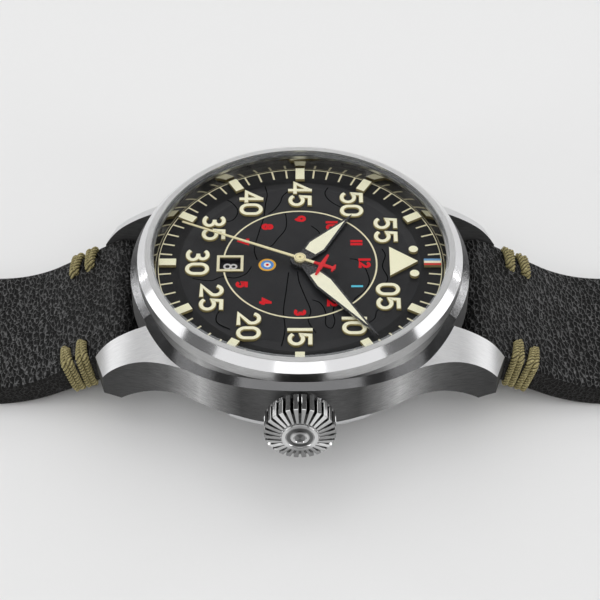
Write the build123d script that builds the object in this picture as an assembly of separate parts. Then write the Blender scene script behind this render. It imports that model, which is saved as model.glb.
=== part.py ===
from build123d import *
import math
import os

os.makedirs("parts", exist_ok=True)

# Lengths are millimetres. Heights are laid out from the dial's face and lifted by dial_height when a
# piece is written, so that zero is the outer face of the back. +X points to 3 o'clock, +Y to 12.

# Watch head
dial_height = 10.1
case_radius = 21.0
lug_gap = 20.0
lug_overhang = 4.1
lug_tip_width = 3.2
bezel_height = 2.55
strap_long_length = 120.0
strap_short_length = 73.0

# Running and seating clearances
seat_gap = 0.03
run_gap = 0.06
loose_gap = 0.15
overrun = 5.0

# Middle of the case
shoulder_width = 0.93
wall_inset = 0.02
spigot_wall = 0.65
spigot_inset = 0.75
spigot_height = 1.1
bezel_seat_height = 0.1
shoulder_rise = 0.16
shoulder_drop = 0.42
foot_wall = 0.7
foot_depth = 8.2
flange_depth = 4.3

# Lugs: how far out they leave the round, how they fall away, and their undersides
lug_start = 12.9
lug_end_slant = 1.1
lug_arch_height = 12.28
lug_slope_deg = 31.0
lug_depth = 9.96
lug_arch_shares = [(0, 1), (0.236, 0.923), (0.475, 0.70), (0.623, 0.53), (0.761, 0.415)]
lug_arch_shares += [(0.869, 0.293), (0.932, 0.187), (0.992, 0.016), (1.02, -0.09)]
lug_belly_shares = [(0, 0.60), (0.40, 0.643), (0.633, 0.733), (0.733, 0.813), (0.873, 1.0)]
lug_heel_shares = [(0.958, 0.914), (1.008, 0.80)]

# Bezel
bezel_side_height = 1.47
bezel_chamfer_width = 0.95
bezel_step = 0.07
bezel_lip_height = 0.3
bezel_flat_width = 0.67
bezel_ledge_width = 0.3
bezel_ledge_height = 0.38
bezel_ledge_drop = 0.72

# Crystal and its gasket
crystal_thickness = 0.87
crystal_bevel = 0.14
gasket_wall = 0.33

# Ring between the dial and the crystal
rehaut_foot_overlap = 0.58
rehaut_wall_gap = 0.05

# Dial, with its raised middle, its hole and its feet
dial_seat_gap = 0.35
dial_thickness = 0.4
dial_track_width = 3.2
dial_disc_rise = 0.15
dial_slope_width = 1.3
dial_hole_radius = 0.95
dial_foot_radius = 0.35
dial_foot_length = 1.3
dial_foot_place = 11.6
dial_foot_deg = (75.0, 255.0)

# Applied markers
block_width = 1.15
block_length = 2.1
block_edge_gap = 0.85
marker_height = 0.4
triangle_half_width = 2.55
triangle_edge_gap = 3.7
triangle_length = 3.5
dot_radius = 0.575
dot_spread = 2.15
dot_edge_gap = 4.2

# Date window
window_offset = 0.15
window_place = 8.65
window_width = 2.1
window_length = 2.6
window_frame = 0.35
window_frame_height = 0.16

# Hands: heights of their undersides over the dial, lengths, and where they stand at rest
hour_hand_height = 0.42
minute_hand_height = 0.72
seconds_hand_height = 0.98
hand_thickness = 0.16
hand_hub_thickness = 0.22
hour_hand_edge_gap = 7.6
minute_hand_edge_gap = 1.9
seconds_hand_edge_gap = 2.1
hand_hub_radius = 1.2
hour_neck = 0.87
minute_neck = 0.62
hour_belly = 1.33
minute_belly = 1.24
hour_belly_share = 0.32
minute_belly_share = 0.31
hour_lume_start = 2.1
minute_lume_start = 3.05
hand_frame = 0.26
hour_hand_deg = -52.3
minute_hand_deg = 54.4
seconds_hand_deg = 204.0
needle_half_width = 0.17
needle_tip_half_width = 0.09
cap_radius = 0.73
cap_height = 0.27
tail_reach = 4.75
wing_place = 2.95
wing_half_span = 1.9
wing_half_chord = 0.3
tail_half_span = 0.63
tail_half_chord = 0.16
body_half_width = 0.27

# Plates of the movement, heights from the dial
plate_radius = 12.9
plate_bottom = -3.7
plate_rim_top = -0.42
plate_rim_radius = 10.3
calendar_floor = -1.0
motion_radius = 6.9
motion_floor = -1.45
bridge_top = -5.4
bridge_thickness = 0.4
bridge_width = 2.0
pillar_radius = 0.5
screw_radius = 0.25
screw_head_radius = 0.6
screw_head_height = 0.25
pivot_radius = 0.15
holder_bore_radius = 13.0
holder_bottom = -6.85

# Date ring
date_ring_top = -0.55
date_ring_thickness = 0.3
date_ring_radius = 10.1
date_ring_bore = 7.5
date_tooth_height = 0.4

# Wheel train: tooth counts, distances between arbors, and directions from arbor to arbor
leaf_count = 6
cannon_count = 8
fifth_count = 36
fourth_count = 30
third_count = 45
centre_count = 48
minute_count = 24
hour_count = 32
date_count = 31
third_distance = 3.74
fifth_distance = 3.7
rotor_distance = 2.24
minute_distance = 2.88
third_deg = 135.0
fifth_deg = 240.0
rotor_deg = 200.0
minute_deg = 200.0
addendum_share = 0.80
dedendum_share = 1.15
tooth_foot_share = 0.52
tooth_tip_share = 0.12

# Heights of the wheels, bottom then top
centre_wheel_span = (-4.0, -3.82)
third_wheel_span = (-4.5, -4.35)
third_pinion_span = (-4.15, -3.78)
fourth_wheel_span = (-4.85, -4.7)
fourth_pinion_span = (-4.55, -4.28)
fifth_wheel_span = (-5.2, -5.05)
fifth_pinion_span = (-4.95, -4.6)
rotor_pinion_span = (-5.3, -4.95)
magnet_span = (-4.75, -4.0)
hour_wheel_span = (-0.95, -0.75)
minute_wheel_span = (-1.33, -1.13)
minute_pinion_span = (-1.13, -0.7)
cannon_span = (-1.38, -1.08)
arbor_foot = -5.7
arbor_top = -3.48
seconds_arbor_radius = 0.24
cannon_radius = 0.5
hour_pipe_radius = 0.75
cannon_collar_radius = 0.8
cannon_collar_height = 0.1
stud_radius = 0.25

# Motor: coil, stator and magnet
coil_place = 8.1
coil_deg = 225.0
coil_radius = 1.0
coil_length = 5.2
coil_tab = 1.3
coil_half_reach = 3.2
stator_span = (-4.35, -4.08)
stator_eye_radius = 1.5
magnet_radius = 0.75

# Battery and circuit
battery_radius = 3.4
battery_thickness = 2.6
battery_top = -3.2
battery_place = 8.4
battery_deg = 48.0
strap_width = 1.4
strap_thickness = 0.15
strap_post_radius = 0.4
strap_reach = 4.3
board_radius = 12.4
board_bore = 5.2
board_thickness = 0.25
board_deg = (-75.0, -22.0)
chip_side = 1.7
chip_height = 0.5
chip_place = 7.0
quartz_radius = 0.75
quartz_length = 4.6
quartz_place = 10.6

# Winding stem, clutch wheel and setting lever
stem_height = -3.1
stem_radius = 0.6
stem_square = 0.7
stem_inner_end = 6.6
stem_square_end = 9.9
groove_place = 10.9
groove_width = 0.65
groove_radius = 0.35
clutch_radius = 0.95
clutch_start = 7.4
clutch_length = 1.2
clutch_waist_radius = 0.72
channel_half_width = 0.68
pocket_half_width = 1.15
pocket_start = 6.2
lever_arm = 3.0
lever_width = 1.2
lever_thickness = 0.18
lever_pin_radius = 0.2
lever_pin_height = 0.25
lever_pivot_radius = 0.3

# Crown, crown tube and seal
crown_radius = 4.25
crown_gap = 0.55
crown_neck_radius = 3.3
crown_neck = 1.15
crown_barrel = 2.5
crown_cone = 0.55
crown_boss_radius = 2.1
crown_boss_height = 0.25
crown_flutes = 24
crown_flute_depth = 0.75
crown_land_share = 0.42
crown_nose_radius = 2.35
crown_nose_flute_depth = 0.3
crown_groove_radii = (1.6, 1.1)
crown_groove_depth = 0.15
crown_dimple_radius = 0.6
tube_radius = 1.25
tube_bore_radius = 0.7
tube_stand_out = 2.01
crown_recess_radius = 1.75
crown_recess_depth = 1.55
stem_thread_length = 1.4
seal_width = 0.4
seal_place = 0.3

# Back of the case and its gasket
back_rim_inset = 0.15
back_rim_height = 0.7
back_slope_width = 1.6
back_thickness = 1.4
back_thread_gap = 0.1
back_thread_height = 0.75
back_neck_depth = 0.45
back_spigot_height = 1.25
back_spigot_wall = 1.35
back_slots = 6
back_slot_width = 2.4
back_slot_depth = 0.75
back_gasket_height = 0.42

# Spring bars between the lugs
bar_setback = 2.8
bar_height = -7.0
bar_radius = 0.75
bar_pivot_radius = 0.4
bar_pivot_length = 0.9

# Strap: the rolled end round the bar, the slope down from the case, the bend and the flat run
strap_side_gap = 0.15
strap_bore_radius = 0.85
roll_radius = 2.3
strap_slope_deg = 28.0
slope_length = 9.5
slope_end_thickness = 3.6
bend_radius = 18.0
bend_end_thickness = 3.4
tail_thickness = 2.3
tail_half_width = 9.0
tail_point_length = 9.0
tail_point_half_width = 3.2
hole_radius = 1.05
hole_count = 7
hole_pitch = 6.5
last_hole_place = 24.0
short_lift = 0.95
short_lift_setback = 33.3
short_end_thickness = 2.6
short_roll_radius = 1.6
tongue_slot_half_width = 1.1
tongue_slot_length = 4.2

# Lacing over the edges of the strap by the lugs
cord_radius = 0.36
lace_inset = 0.62
lace_hole_radius = 0.42
lace_hole_place = 6.7
lace_runs = ((3.68, 3.4, 4.9), (4.52, 4.3, 5.72), (6.15, 5.6, 6.58), (6.99, 6.45, 7.4))

# Buckle, its bar, its tongue and the two keepers
buckle_bar_radius = 0.6
buckle_eye_radius = 1.25
buckle_leg_width = 2.0
buckle_leg_gap = 0.2
buckle_reach = 10.0
buckle_front_depth = 1.6
buckle_front_length = 1.9
tongue_radius = 0.55
tongue_eye_radius = 1.35
tongue_overhang = 0.9
keeper_length = 5.0
keeper_wall = 0.95
keeper_room = 2.7
fixed_keeper_setback = 11.3
sliding_keeper_setback = 12.0
keeper_side_gap = 0.25

centre_up = (Align.CENTER, Align.CENTER, Align.MIN)


def polar(distance, degrees, start=(0, 0)):
    turn = math.radians(degrees)
    return (start[0] + distance * math.cos(turn), start[1] + distance * math.sin(turn))


def disc(radius, low, high, at=(0, 0)):
    return Pos(at[0], at[1], low) * Cylinder(radius, high - low, align=centre_up)


def ring(outer, inner, low, high, at=(0, 0)):
    return disc(outer, low, high, at) - disc(inner, low - overrun, high + overrun, at)


def turned(points):
    """A solid of revolution about the dial's axis from its (radius, height) outline."""
    outline = Polyline(*[(radius, 0, height) for radius, height in points], close=True)
    return revolve(make_face(outline), Axis.Z)


def stem_disc(radius, start, end):
    """A cylinder on the stem's axis between two places along +X."""
    return Pos(start, 0, stem_height) * Rot(0, 90, 0) * Cylinder(radius, end - start, align=centre_up)


def plate(points, low, high):
    face = make_face(Polyline(*[(x, y, low) for x, y in points], close=True))
    return extrude(face, high - low, dir=(0, 0, 1))


def bar(start, end, width, low, high):
    """A flat bar with round ends between two places on a plate."""
    run = math.dist(start, end)
    turn = math.degrees(math.atan2(end[1] - start[1], end[0] - start[0]))
    body = Pos(*start, low) * Rot(0, 0, turn) * Box(
        run, width, high - low, align=(Align.MIN, Align.CENTER, Align.MIN)
    )
    return body + disc(width / 2, low, high, start) + disc(width / 2, low, high, end)


def side_solid(outline, half_width):
    """A solid of the given (y, z) outline, as wide as the given half width on both sides of X = 0."""
    face = make_face(Polyline(*[(-half_width, y, z) for y, z in outline], close=True))
    return extrude(face, 2 * half_width, dir=(1, 0, 0))


def block(low, high):
    size = [high[i] - low[i] for i in range(3)]
    middle = [(high[i] + low[i]) / 2 for i in range(3)]
    return Pos(*middle) * Box(*size)


def save(name, *solids):
    """Writes one piece, or a set of like pieces, lifted from the dial to the back's outer face."""
    shape = solids[0] if len(solids) == 1 else Compound(children=list(solids))
    export_step(Pos(0, 0, dial_height) * shape, f"parts/{name}.step")


def module_of(distance, first_count, second_count):
    return 2 * distance / (first_count + second_count)


def toothed(count, module, span, at=(0, 0), toward=0.0, gap=False):
    """A wheel with straight-sided teeth. A tooth, or a gap, faces the direction toward, in degrees."""
    pitch = 360 / count
    start = toward + (pitch / 2 if gap else 0)
    pitch_radius = module * count / 2
    root, tip = pitch_radius - dedendum_share * module, pitch_radius + addendum_share * module
    points = []
    for tooth in range(count):
        middle = start + tooth * pitch
        foot, crest = pitch * tooth_foot_share / 2, pitch * tooth_tip_share / 2
        points.append(polar(root, middle - foot, at))
        points.append(polar(tip, middle - crest, at))
        points.append(polar(tip, middle + crest, at))
        points.append(polar(root, middle + foot, at))
    return plate(points, *span)


# Places of the arbors
third_at = polar(third_distance, third_deg)
fifth_at = polar(fifth_distance, fifth_deg)
rotor_at = polar(rotor_distance, rotor_deg, fifth_at)
minute_at = polar(minute_distance, minute_deg)
battery_at = polar(battery_place, battery_deg)
coil_at = polar(coil_place, coil_deg)
coil_height = stator_span[0] - coil_radius - run_gap
coil_ends = [polar(coil_half_reach, coil_deg + side, coil_at) for side in (90, -90)]
lever_at = (groove_place, lever_arm)
third_module = module_of(third_distance, leaf_count, third_count)
centre_module = module_of(third_distance, leaf_count, centre_count)
fourth_module = module_of(fifth_distance, leaf_count, fourth_count)
fifth_module = module_of(rotor_distance, leaf_count, fifth_count)
minute_module = module_of(minute_distance, cannon_count, minute_count)
hour_module = module_of(minute_distance, cannon_count, hour_count)

# Radii of the head, each from the piece that carries it
bezel_radius = case_radius - shoulder_width
wall_radius = bezel_radius - wall_inset
spigot_radius = wall_radius - spigot_inset
case_bore_radius = spigot_radius - spigot_wall
foot_radius = case_bore_radius + foot_wall
bezel_flat_radius = bezel_radius - bezel_chamfer_width
crystal_radius = bezel_flat_radius - bezel_step - bezel_flat_width - seat_gap
bezel_ledge_radius = crystal_radius - bezel_ledge_width
dial_radius = case_bore_radius - dial_seat_gap
rehaut_foot_radius = dial_radius - rehaut_foot_overlap
rehaut_wall_radius = case_bore_radius - rehaut_wall_gap
dial_disc_radius = dial_radius - dial_track_width
block_inner_radius = dial_radius - block_edge_gap - block_length
triangle_base = dial_radius - triangle_edge_gap - triangle_length
dot_place = dial_radius - dot_edge_gap
hour_hand_length = dial_radius - hour_hand_edge_gap
minute_hand_length = dial_radius - minute_hand_edge_gap
seconds_hand_length = dial_radius - seconds_hand_edge_gap
back_rim_radius = foot_radius - back_rim_inset
back_face_radius = back_rim_radius - back_slope_width
back_thread_radius = case_bore_radius - back_thread_gap
back_neck_radius = back_thread_radius - back_neck_depth
back_spigot_bore = back_thread_radius - back_spigot_wall
lug_reach = case_radius + lug_overhang
bar_reach = lug_reach - bar_setback

# Heights and places that several pieces share
bezel_top = bezel_seat_height + bezel_height
crystal_low = bezel_top - bezel_ledge_drop
bridge_low = bridge_top - bridge_thickness
half_gap = lug_gap / 2
lug_side = half_gap + lug_tip_width
crown_start = case_radius + crown_gap
crown_barrel_start = crown_start + crown_neck
crown_cone_start = crown_barrel_start + crown_barrel
crown_cone_end = crown_cone_start + crown_cone
crown_end = crown_cone_end + crown_boss_height
lug_hole_depth = bar_pivot_length + loose_gap
groove_wall = (groove_place - groove_width / 2, groove_place + groove_width / 2)


def lug_outline(side_x, side_y):
    """One lug from above: it leaves the round in a hollow sweep and ends in a slanted nose."""
    leave_x = math.sqrt(case_radius**2 - lug_start**2)
    tangent = Vector(-lug_start * side_x, leave_x * side_y, 0)
    nose_y = lug_reach - lug_end_slant
    flank = Spline(
        (side_x * leave_x, side_y * lug_start),
        (side_x * lug_side, side_y * nose_y),
        tangents=[tangent, Vector(0, side_y, 0)],
    )
    rest = Polyline(
        (side_x * lug_side, side_y * nose_y),
        (side_x * half_gap, side_y * lug_reach),
        (side_x * half_gap, side_y * lug_start),
        (side_x * leave_x, side_y * lug_start),
    )
    return make_face(flank + rest)


def lug_top():
    """The body under the tops of the lugs: one arch along Y, falling away to both sides."""
    arch = [(0, y * lug_reach, z * lug_arch_height) for y, z in lug_arch_shares]
    arch = [(x, -y, z) for x, y, z in reversed(arch[1:])] + arch
    low = -lug_arch_height - case_radius
    close = Polyline(arch[-1], (0, arch[-1][1], low), (0, arch[0][1], low), arch[0])
    face = make_face(Spline(*arch) + close)
    fall = math.tan(math.radians(lug_slope_deg))
    reach = (case_radius + overrun) / math.cos(math.radians(lug_slope_deg))
    sides = [extrude(face, reach, dir=(side, 0, -fall)) for side in (1, -1)]
    return sides[0] + sides[1]


def lug_belly():
    """The body over the undersides of the lugs, with the blunt heel of each tip."""
    belly = [(0, y * lug_reach, -z * lug_depth) for y, z in lug_belly_shares]
    belly = [(x, -y, z) for x, y, z in reversed(belly[1:])] + belly
    heel = [(0, y * lug_reach, -z * lug_depth) for y, z in lug_heel_shares]
    rise = [belly[-1], *heel, (0, heel[-1][1], overrun)]
    close = Polyline(*rise, *[(x, -y, z) for x, y, z in reversed(rise)])
    face = make_face(Spline(*belly) + close)
    return extrude(face, case_radius + overrun, dir=(1, 0, 0), both=True)


def case_middle():
    round_top = bezel_seat_height + shoulder_rise
    round_edge = round_top - shoulder_drop - shoulder_rise
    body = turned(
        [(0, -lug_depth), (case_radius, -lug_depth), (case_radius, round_edge), (wall_radius, round_top), (0, round_top)]
    )
    for side_x in (1, -1):
        for side_y in (1, -1):
            lug = extrude(lug_outline(side_x, side_y), lug_depth + overrun, dir=(0, 0, 1))
            body += Pos(0, 0, -lug_depth) * lug
    body = body & lug_top() & lug_belly()
    gap_tools = block((-half_gap, -lug_reach - overrun, -lug_depth - overrun), (half_gap, lug_reach + overrun, -flange_depth))
    body -= gap_tools - disc(foot_radius, -lug_depth - overrun, 0)
    body -= ring(lug_reach + overrun, foot_radius, -foot_depth - overrun, -foot_depth) & disc(
        foot_radius, -foot_depth - overrun, 0
    )
    body += ring(foot_radius, case_bore_radius, -foot_depth, 0)
    body += ring(wall_radius, case_bore_radius, -flange_depth, bezel_seat_height)
    body -= disc(bezel_radius + seat_gap, bezel_seat_height, overrun)
    body += ring(spigot_radius, case_bore_radius, 0, bezel_seat_height + spigot_height)
    body -= disc(case_bore_radius, -lug_depth - overrun, overrun)
    body -= disc(foot_radius, -lug_depth - overrun, -foot_depth)
    for side in (1, -1):
        hole = Pos(0, side * bar_reach, bar_height) * Rot(0, 90, 0) * Cylinder(
            bar_pivot_radius + seat_gap, lug_gap + 2 * lug_hole_depth
        )
        body -= hole
    return body - stem_disc(tube_radius, 0, case_radius + overrun)


def bezel():
    seat, top = bezel_seat_height, bezel_top
    side_top = seat + bezel_side_height
    groove_low, groove_top = crystal_low, top - bezel_lip_height
    lip = crystal_radius + seat_gap
    groove = crystal_radius + gasket_wall + seat_gap
    ledge_low = crystal_low - bezel_ledge_height
    bore = spigot_radius + seat_gap
    bore_top = seat + spigot_height + seat_gap
    outer = [(bezel_radius, seat), (bezel_radius, side_top), (bezel_flat_radius, top - bezel_step)]
    outer += [(bezel_flat_radius - bezel_step, top - bezel_step), (bezel_flat_radius - bezel_step, top)]
    inner = [(lip, top), (lip, groove_top), (groove, groove_top), (groove, groove_low)]
    inner += [(bezel_ledge_radius, groove_low), (bezel_ledge_radius, ledge_low), (bore, ledge_low)]
    inner += [(bore, bore_top), (bore, seat)]
    return turned(outer + inner)


def crystal():
    low, top = crystal_low, crystal_low + crystal_thickness
    edge = crystal_radius
    return turned([(0, low), (edge, low), (edge, top - crystal_bevel), (edge - crystal_bevel, top), (0, top)])


def crystal_gasket():
    inner = crystal_radius + seat_gap / 2
    return ring(inner + gasket_wall, inner, crystal_low, bezel_top - bezel_lip_height - seat_gap)


def rehaut():
    low = seat_gap
    top = crystal_low - bezel_ledge_height - seat_gap
    return turned(
        [(rehaut_foot_radius, low), (rehaut_wall_radius, low), (rehaut_wall_radius, top), (bezel_ledge_radius, top)]
    )


def dial():
    middle = [(0, 0), (dial_disc_radius, 0), (dial_disc_radius - dial_slope_width, dial_disc_rise)]
    body = disc(dial_radius, -dial_thickness, 0) + turned([*middle, (0, dial_disc_rise)])
    for degrees in dial_foot_deg:
        body += disc(dial_foot_radius, -dial_thickness - dial_foot_length, 0, polar(dial_foot_place, degrees))
    body -= disc(dial_hole_radius, -overrun, overrun)
    return body - window_box(0, -overrun, overrun)


def window_box(border, low, high):
    half_x, half_y = window_width / 2 + border, window_length / 2 + border
    return block(
        (window_offset - half_x, -window_place - half_y, low), (window_offset + half_x, -window_place + half_y, high)
    )


def date_window_frame():
    low, high = dial_disc_rise, dial_disc_rise + window_frame_height
    return window_box(window_frame, low, high) - window_box(0, low - overrun, high + overrun)


def dial_markers():
    solids = []
    for hour in range(12):
        middle = block_inner_radius + block_length / 2
        marker = Pos(0, middle, marker_height / 2) * Box(block_width, block_length, marker_height)
        solids.append(Rot(0, 0, -30 * hour) * marker)
    tip = triangle_base + triangle_length
    low, high = dial_disc_rise, dial_disc_rise + marker_height
    corners = [(-triangle_half_width, triangle_base), (triangle_half_width, triangle_base), (0, tip)]
    solids.append(plate(corners, low, high))
    for side in (1, -1):
        solids.append(disc(dot_radius, low, high, (side * dot_spread, dot_place)))
    return solids


def sword(length, neck, belly, belly_share, inset, start, low, high):
    """A sword-shaped blade along +Y: from its start it swells to the belly and then runs to a point."""
    belly_at = length * belly_share
    slope = (belly - neck) / (belly_at - hand_hub_radius)
    foot = neck + slope * (start - hand_hub_radius) - inset
    tip_inset = inset * (length - belly_at) / belly
    points = [(-foot, start), (-belly + inset, belly_at), (0, length - tip_inset)]
    points += [(belly - inset, belly_at), (foot, start)]
    return plate(points, low, high)


def framed_hand(length, neck, belly, belly_share, lume_start, bore, low, degrees):
    high = low + hand_thickness
    blade = sword(length, neck, belly, belly_share, 0, hand_hub_radius / 2, low, high)
    blade -= sword(length, neck, belly, belly_share, hand_frame, lume_start, low - overrun, high + overrun)
    hand = blade + disc(hand_hub_radius, low, low + hand_hub_thickness)
    return Rot(0, 0, -degrees) * (hand - disc(bore, low - overrun, high + overrun))


def lume(length, neck, belly, belly_share, lume_start, low, degrees):
    fill = sword(length, neck, belly, belly_share, hand_frame, lume_start, low, low + hand_thickness)
    return Rot(0, 0, -degrees) * fill


hour_shape = (hour_hand_length, hour_neck, hour_belly, hour_belly_share)
minute_shape = (minute_hand_length, minute_neck, minute_belly, minute_belly_share)
cannon_bore = seconds_arbor_radius + run_gap
hour_pipe_bore = cannon_radius + run_gap


def hour_hand():
    return framed_hand(*hour_shape, hour_lume_start, hour_pipe_bore, hour_hand_height, hour_hand_deg)


def minute_hand():
    return framed_hand(*minute_shape, minute_lume_start, cannon_bore, minute_hand_height, minute_hand_deg)


def seconds_hand():
    """A thin needle with a round cap, balanced by a small winged tail."""
    low, high = seconds_hand_height, seconds_hand_height + hand_thickness
    needle = [(-needle_half_width, 0), (-needle_tip_half_width, seconds_hand_length)]
    needle += [(needle_tip_half_width, seconds_hand_length), (needle_half_width, 0)]
    hand = plate(needle, low, high)
    nose = wing_place - 2 * wing_half_chord
    fuselage = [(needle_half_width, 0), (needle_half_width, -nose), (body_half_width, -wing_place)]
    fuselage += [(tail_half_chord, -tail_reach)]
    hand += plate(fuselage + [(-x, y) for x, y in reversed(fuselage)], low, high)
    wing = [(0, -wing_place + wing_half_chord), (wing_half_span, -wing_place + wing_half_chord / 3)]
    wing += [(wing_half_span, -wing_place - wing_half_chord / 2), (0, -wing_place - wing_half_chord)]
    tail_at = tail_reach - 2 * tail_half_chord
    tail = [(0, -tail_at + tail_half_chord), (tail_half_span, -tail_at), (tail_half_span, -tail_at - tail_half_chord)]
    tail += [(0, -tail_at - 2 * tail_half_chord)]
    for outline in (wing, tail):
        hand += plate(outline, low, high) + plate([(-x, y) for x, y in reversed(outline)], low, high)
    hand += disc(cap_radius, low, low + cap_height)
    return Rot(0, 0, -seconds_hand_deg) * hand


def cannon_pinion():
    """Leaves for the motion work on a long tube that carries the minute hand and the centre wheel."""
    collar_low = centre_wheel_span[0] - cannon_collar_height - seat_gap
    body = toothed(cannon_count, minute_module, cannon_span, toward=minute_deg)
    body += disc(cannon_radius, collar_low, minute_hand_height)
    body += disc(cannon_collar_radius, collar_low, collar_low + cannon_collar_height)
    return body - disc(cannon_bore, collar_low - overrun, minute_hand_height + overrun)


def hour_wheel():
    wheel = toothed(hour_count, hour_module, hour_wheel_span, toward=minute_deg, gap=True)
    pipe = disc(hour_pipe_radius, hour_wheel_span[0], hour_hand_height)
    return wheel + pipe - disc(hour_pipe_bore, -overrun, overrun)


def minute_wheel():
    wheel = toothed(minute_count, minute_module, minute_wheel_span, minute_at, minute_deg + 180, True)
    pinion = toothed(cannon_count, hour_module, minute_pinion_span, minute_at, minute_deg + 180)
    return wheel + pinion - disc(stud_radius + run_gap, -overrun, overrun, minute_at)


def centre_wheel():
    wheel = toothed(centre_count, centre_module, centre_wheel_span, toward=third_deg, gap=True)
    return wheel - disc(cannon_radius + seat_gap, -overrun, overrun)


def seconds_wheel():
    """The seconds arbor through the middle of the watch, with its wheel and its pinion."""
    wheel = toothed(fourth_count, fourth_module, fourth_wheel_span, toward=fifth_deg, gap=True)
    pinion = toothed(leaf_count, third_module, fourth_pinion_span, toward=third_deg)
    return wheel + pinion + disc(seconds_arbor_radius, arbor_foot, seconds_hand_height)


def third_wheel():
    wheel = toothed(third_count, third_module, third_wheel_span, third_at, third_deg + 180, True)
    pinion = toothed(leaf_count, centre_module, third_pinion_span, third_at, third_deg + 180)
    return wheel + pinion + disc(pivot_radius, arbor_foot, arbor_top, third_at)


def fifth_wheel():
    wheel = toothed(fifth_count, fifth_module, fifth_wheel_span, fifth_at, rotor_deg, True)
    pinion = toothed(leaf_count, fourth_module, fifth_pinion_span, fifth_at, fifth_deg + 180)
    return wheel + pinion + disc(pivot_radius, arbor_foot, arbor_top, fifth_at)


def step_rotor():
    pinion = toothed(leaf_count, fifth_module, rotor_pinion_span, rotor_at, rotor_deg + 180)
    return pinion + disc(magnet_radius, *magnet_span, rotor_at) + disc(pivot_radius, arbor_foot, arbor_top, rotor_at)


def date_ring():
    """A flat ring whose inward teeth are pushed on by one each day."""
    low = date_ring_top - date_ring_thickness
    points = []
    pitch = 360 / date_count
    for tooth in range(date_count):
        points.append(polar(date_ring_bore, tooth * pitch - pitch / 2))
        points.append(polar(date_ring_bore - date_tooth_height, tooth * pitch))
    return disc(date_ring_radius, low, date_ring_top) - plate(points, low - overrun, date_ring_top + overrun)


def bridge_pillars():
    """Three places round the train where the bridge stands on the main plate."""
    clear = third_distance + pillar_radius
    return [polar(clear + third_distance, third_deg + 14), polar(clear + pillar_radius, 80), polar(clear, -66)]


def main_plate():
    steps = [(0, plate_bottom), (plate_radius, plate_bottom), (plate_radius, plate_rim_top)]
    steps += [(plate_rim_radius, plate_rim_top), (plate_rim_radius, calendar_floor)]
    steps += [(motion_radius, calendar_floor), (motion_radius, motion_floor), (0, motion_floor)]
    body = turned(steps)
    body += disc(stud_radius, motion_floor, minute_pinion_span[1], minute_at)
    body -= disc(cannon_radius + run_gap, -overrun, overrun)
    body -= disc(battery_radius + loose_gap, plate_bottom - overrun, battery_top + seat_gap, battery_at)
    channel_top = stem_height + channel_half_width
    body -= block(
        (stem_square_end, -channel_half_width, plate_bottom - overrun), (plate_radius + overrun, channel_half_width, channel_top)
    )
    pocket_top = stem_height + clutch_radius + loose_gap
    body -= block(
        (pocket_start, -pocket_half_width, plate_bottom - overrun), (stem_square_end, pocket_half_width, pocket_top)
    )
    for degrees in dial_foot_deg:
        body -= disc(dial_foot_radius + seat_gap, -overrun, overrun, polar(dial_foot_place, degrees))
    for place in (third_at, fifth_at, rotor_at):
        body -= disc(pivot_radius + run_gap, plate_bottom - overrun, arbor_top + seat_gap, place)
    for place in bridge_pillars():
        body -= disc(screw_radius, plate_bottom - overrun, plate_bottom + bridge_thickness, place)
    return body - disc(lever_pivot_radius, plate_bottom - overrun, plate_bottom + bridge_thickness, lever_at)


def train_bridge():
    """A bridge over the wheels, held up on pillars."""
    places = bridge_pillars()
    body = bar(places[0], (0, 0), bridge_width, bridge_low, bridge_top)
    body += bar((0, 0), places[1], bridge_width, bridge_low, bridge_top)
    body += bar((0, 0), places[2], bridge_width, bridge_low, bridge_top)
    body += bar((0, 0), rotor_at, bridge_width, bridge_low, bridge_top)
    body += bar(fifth_at, rotor_at, bridge_width, bridge_low, bridge_top)
    for place in places:
        body += disc(pillar_radius, bridge_top, plate_bottom, place)
        body -= disc(screw_radius + seat_gap, -2 * overrun, overrun, place)
    for place in (third_at, fifth_at, rotor_at):
        body -= disc(pivot_radius + run_gap, -2 * overrun, overrun, place)
    return body - disc(seconds_arbor_radius + run_gap, -2 * overrun, overrun)


def movement_screws():
    solids = []
    for place in bridge_pillars():
        head = disc(screw_head_radius, bridge_low - screw_head_height, bridge_low, place)
        solids.append(head + disc(screw_radius, bridge_low, plate_bottom + bridge_thickness, place))
    lever_low = plate_bottom - 2 * run_gap - lever_thickness
    head = disc(screw_head_radius, lever_low - screw_head_height, lever_low, lever_at)
    solids.append(head + disc(lever_pivot_radius, lever_low, plate_bottom + bridge_thickness, lever_at))
    return solids


def setting_lever():
    """A flat lever whose pin rides in the stem's groove."""
    high = plate_bottom - run_gap
    low = high - lever_thickness
    body = bar(lever_at, (groove_place, 0), lever_width, low, high)
    body += disc(lever_pin_radius, high, high + lever_pin_height, (groove_place, 0))
    return body - disc(lever_pivot_radius + run_gap, low - overrun, high + overrun, lever_at)


def stator():
    body = disc(stator_eye_radius, *stator_span, rotor_at)
    for end in coil_ends:
        body += bar(end, rotor_at, coil_tab, *stator_span)
    return body - disc(magnet_radius + loose_gap, -overrun * 2, overrun, rotor_at)


def coil_block():
    """The motor's winding as one round block, between the tabs of its core."""
    turn = Rot(0, 0, coil_deg + 90) * Rot(0, 90, 0)
    body = Pos(*coil_at, coil_height) * turn * Cylinder(coil_radius, coil_length)
    core = Pos(*coil_at, coil_height) * turn * Cylinder(coil_radius / 2, 2 * coil_half_reach)
    body += core
    for end in coil_ends:
        body += disc(coil_tab / 2, coil_height - coil_radius / 2, stator_span[0], end)
    return body


def battery():
    return disc(battery_radius, battery_top - battery_thickness, battery_top, battery_at)


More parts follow.
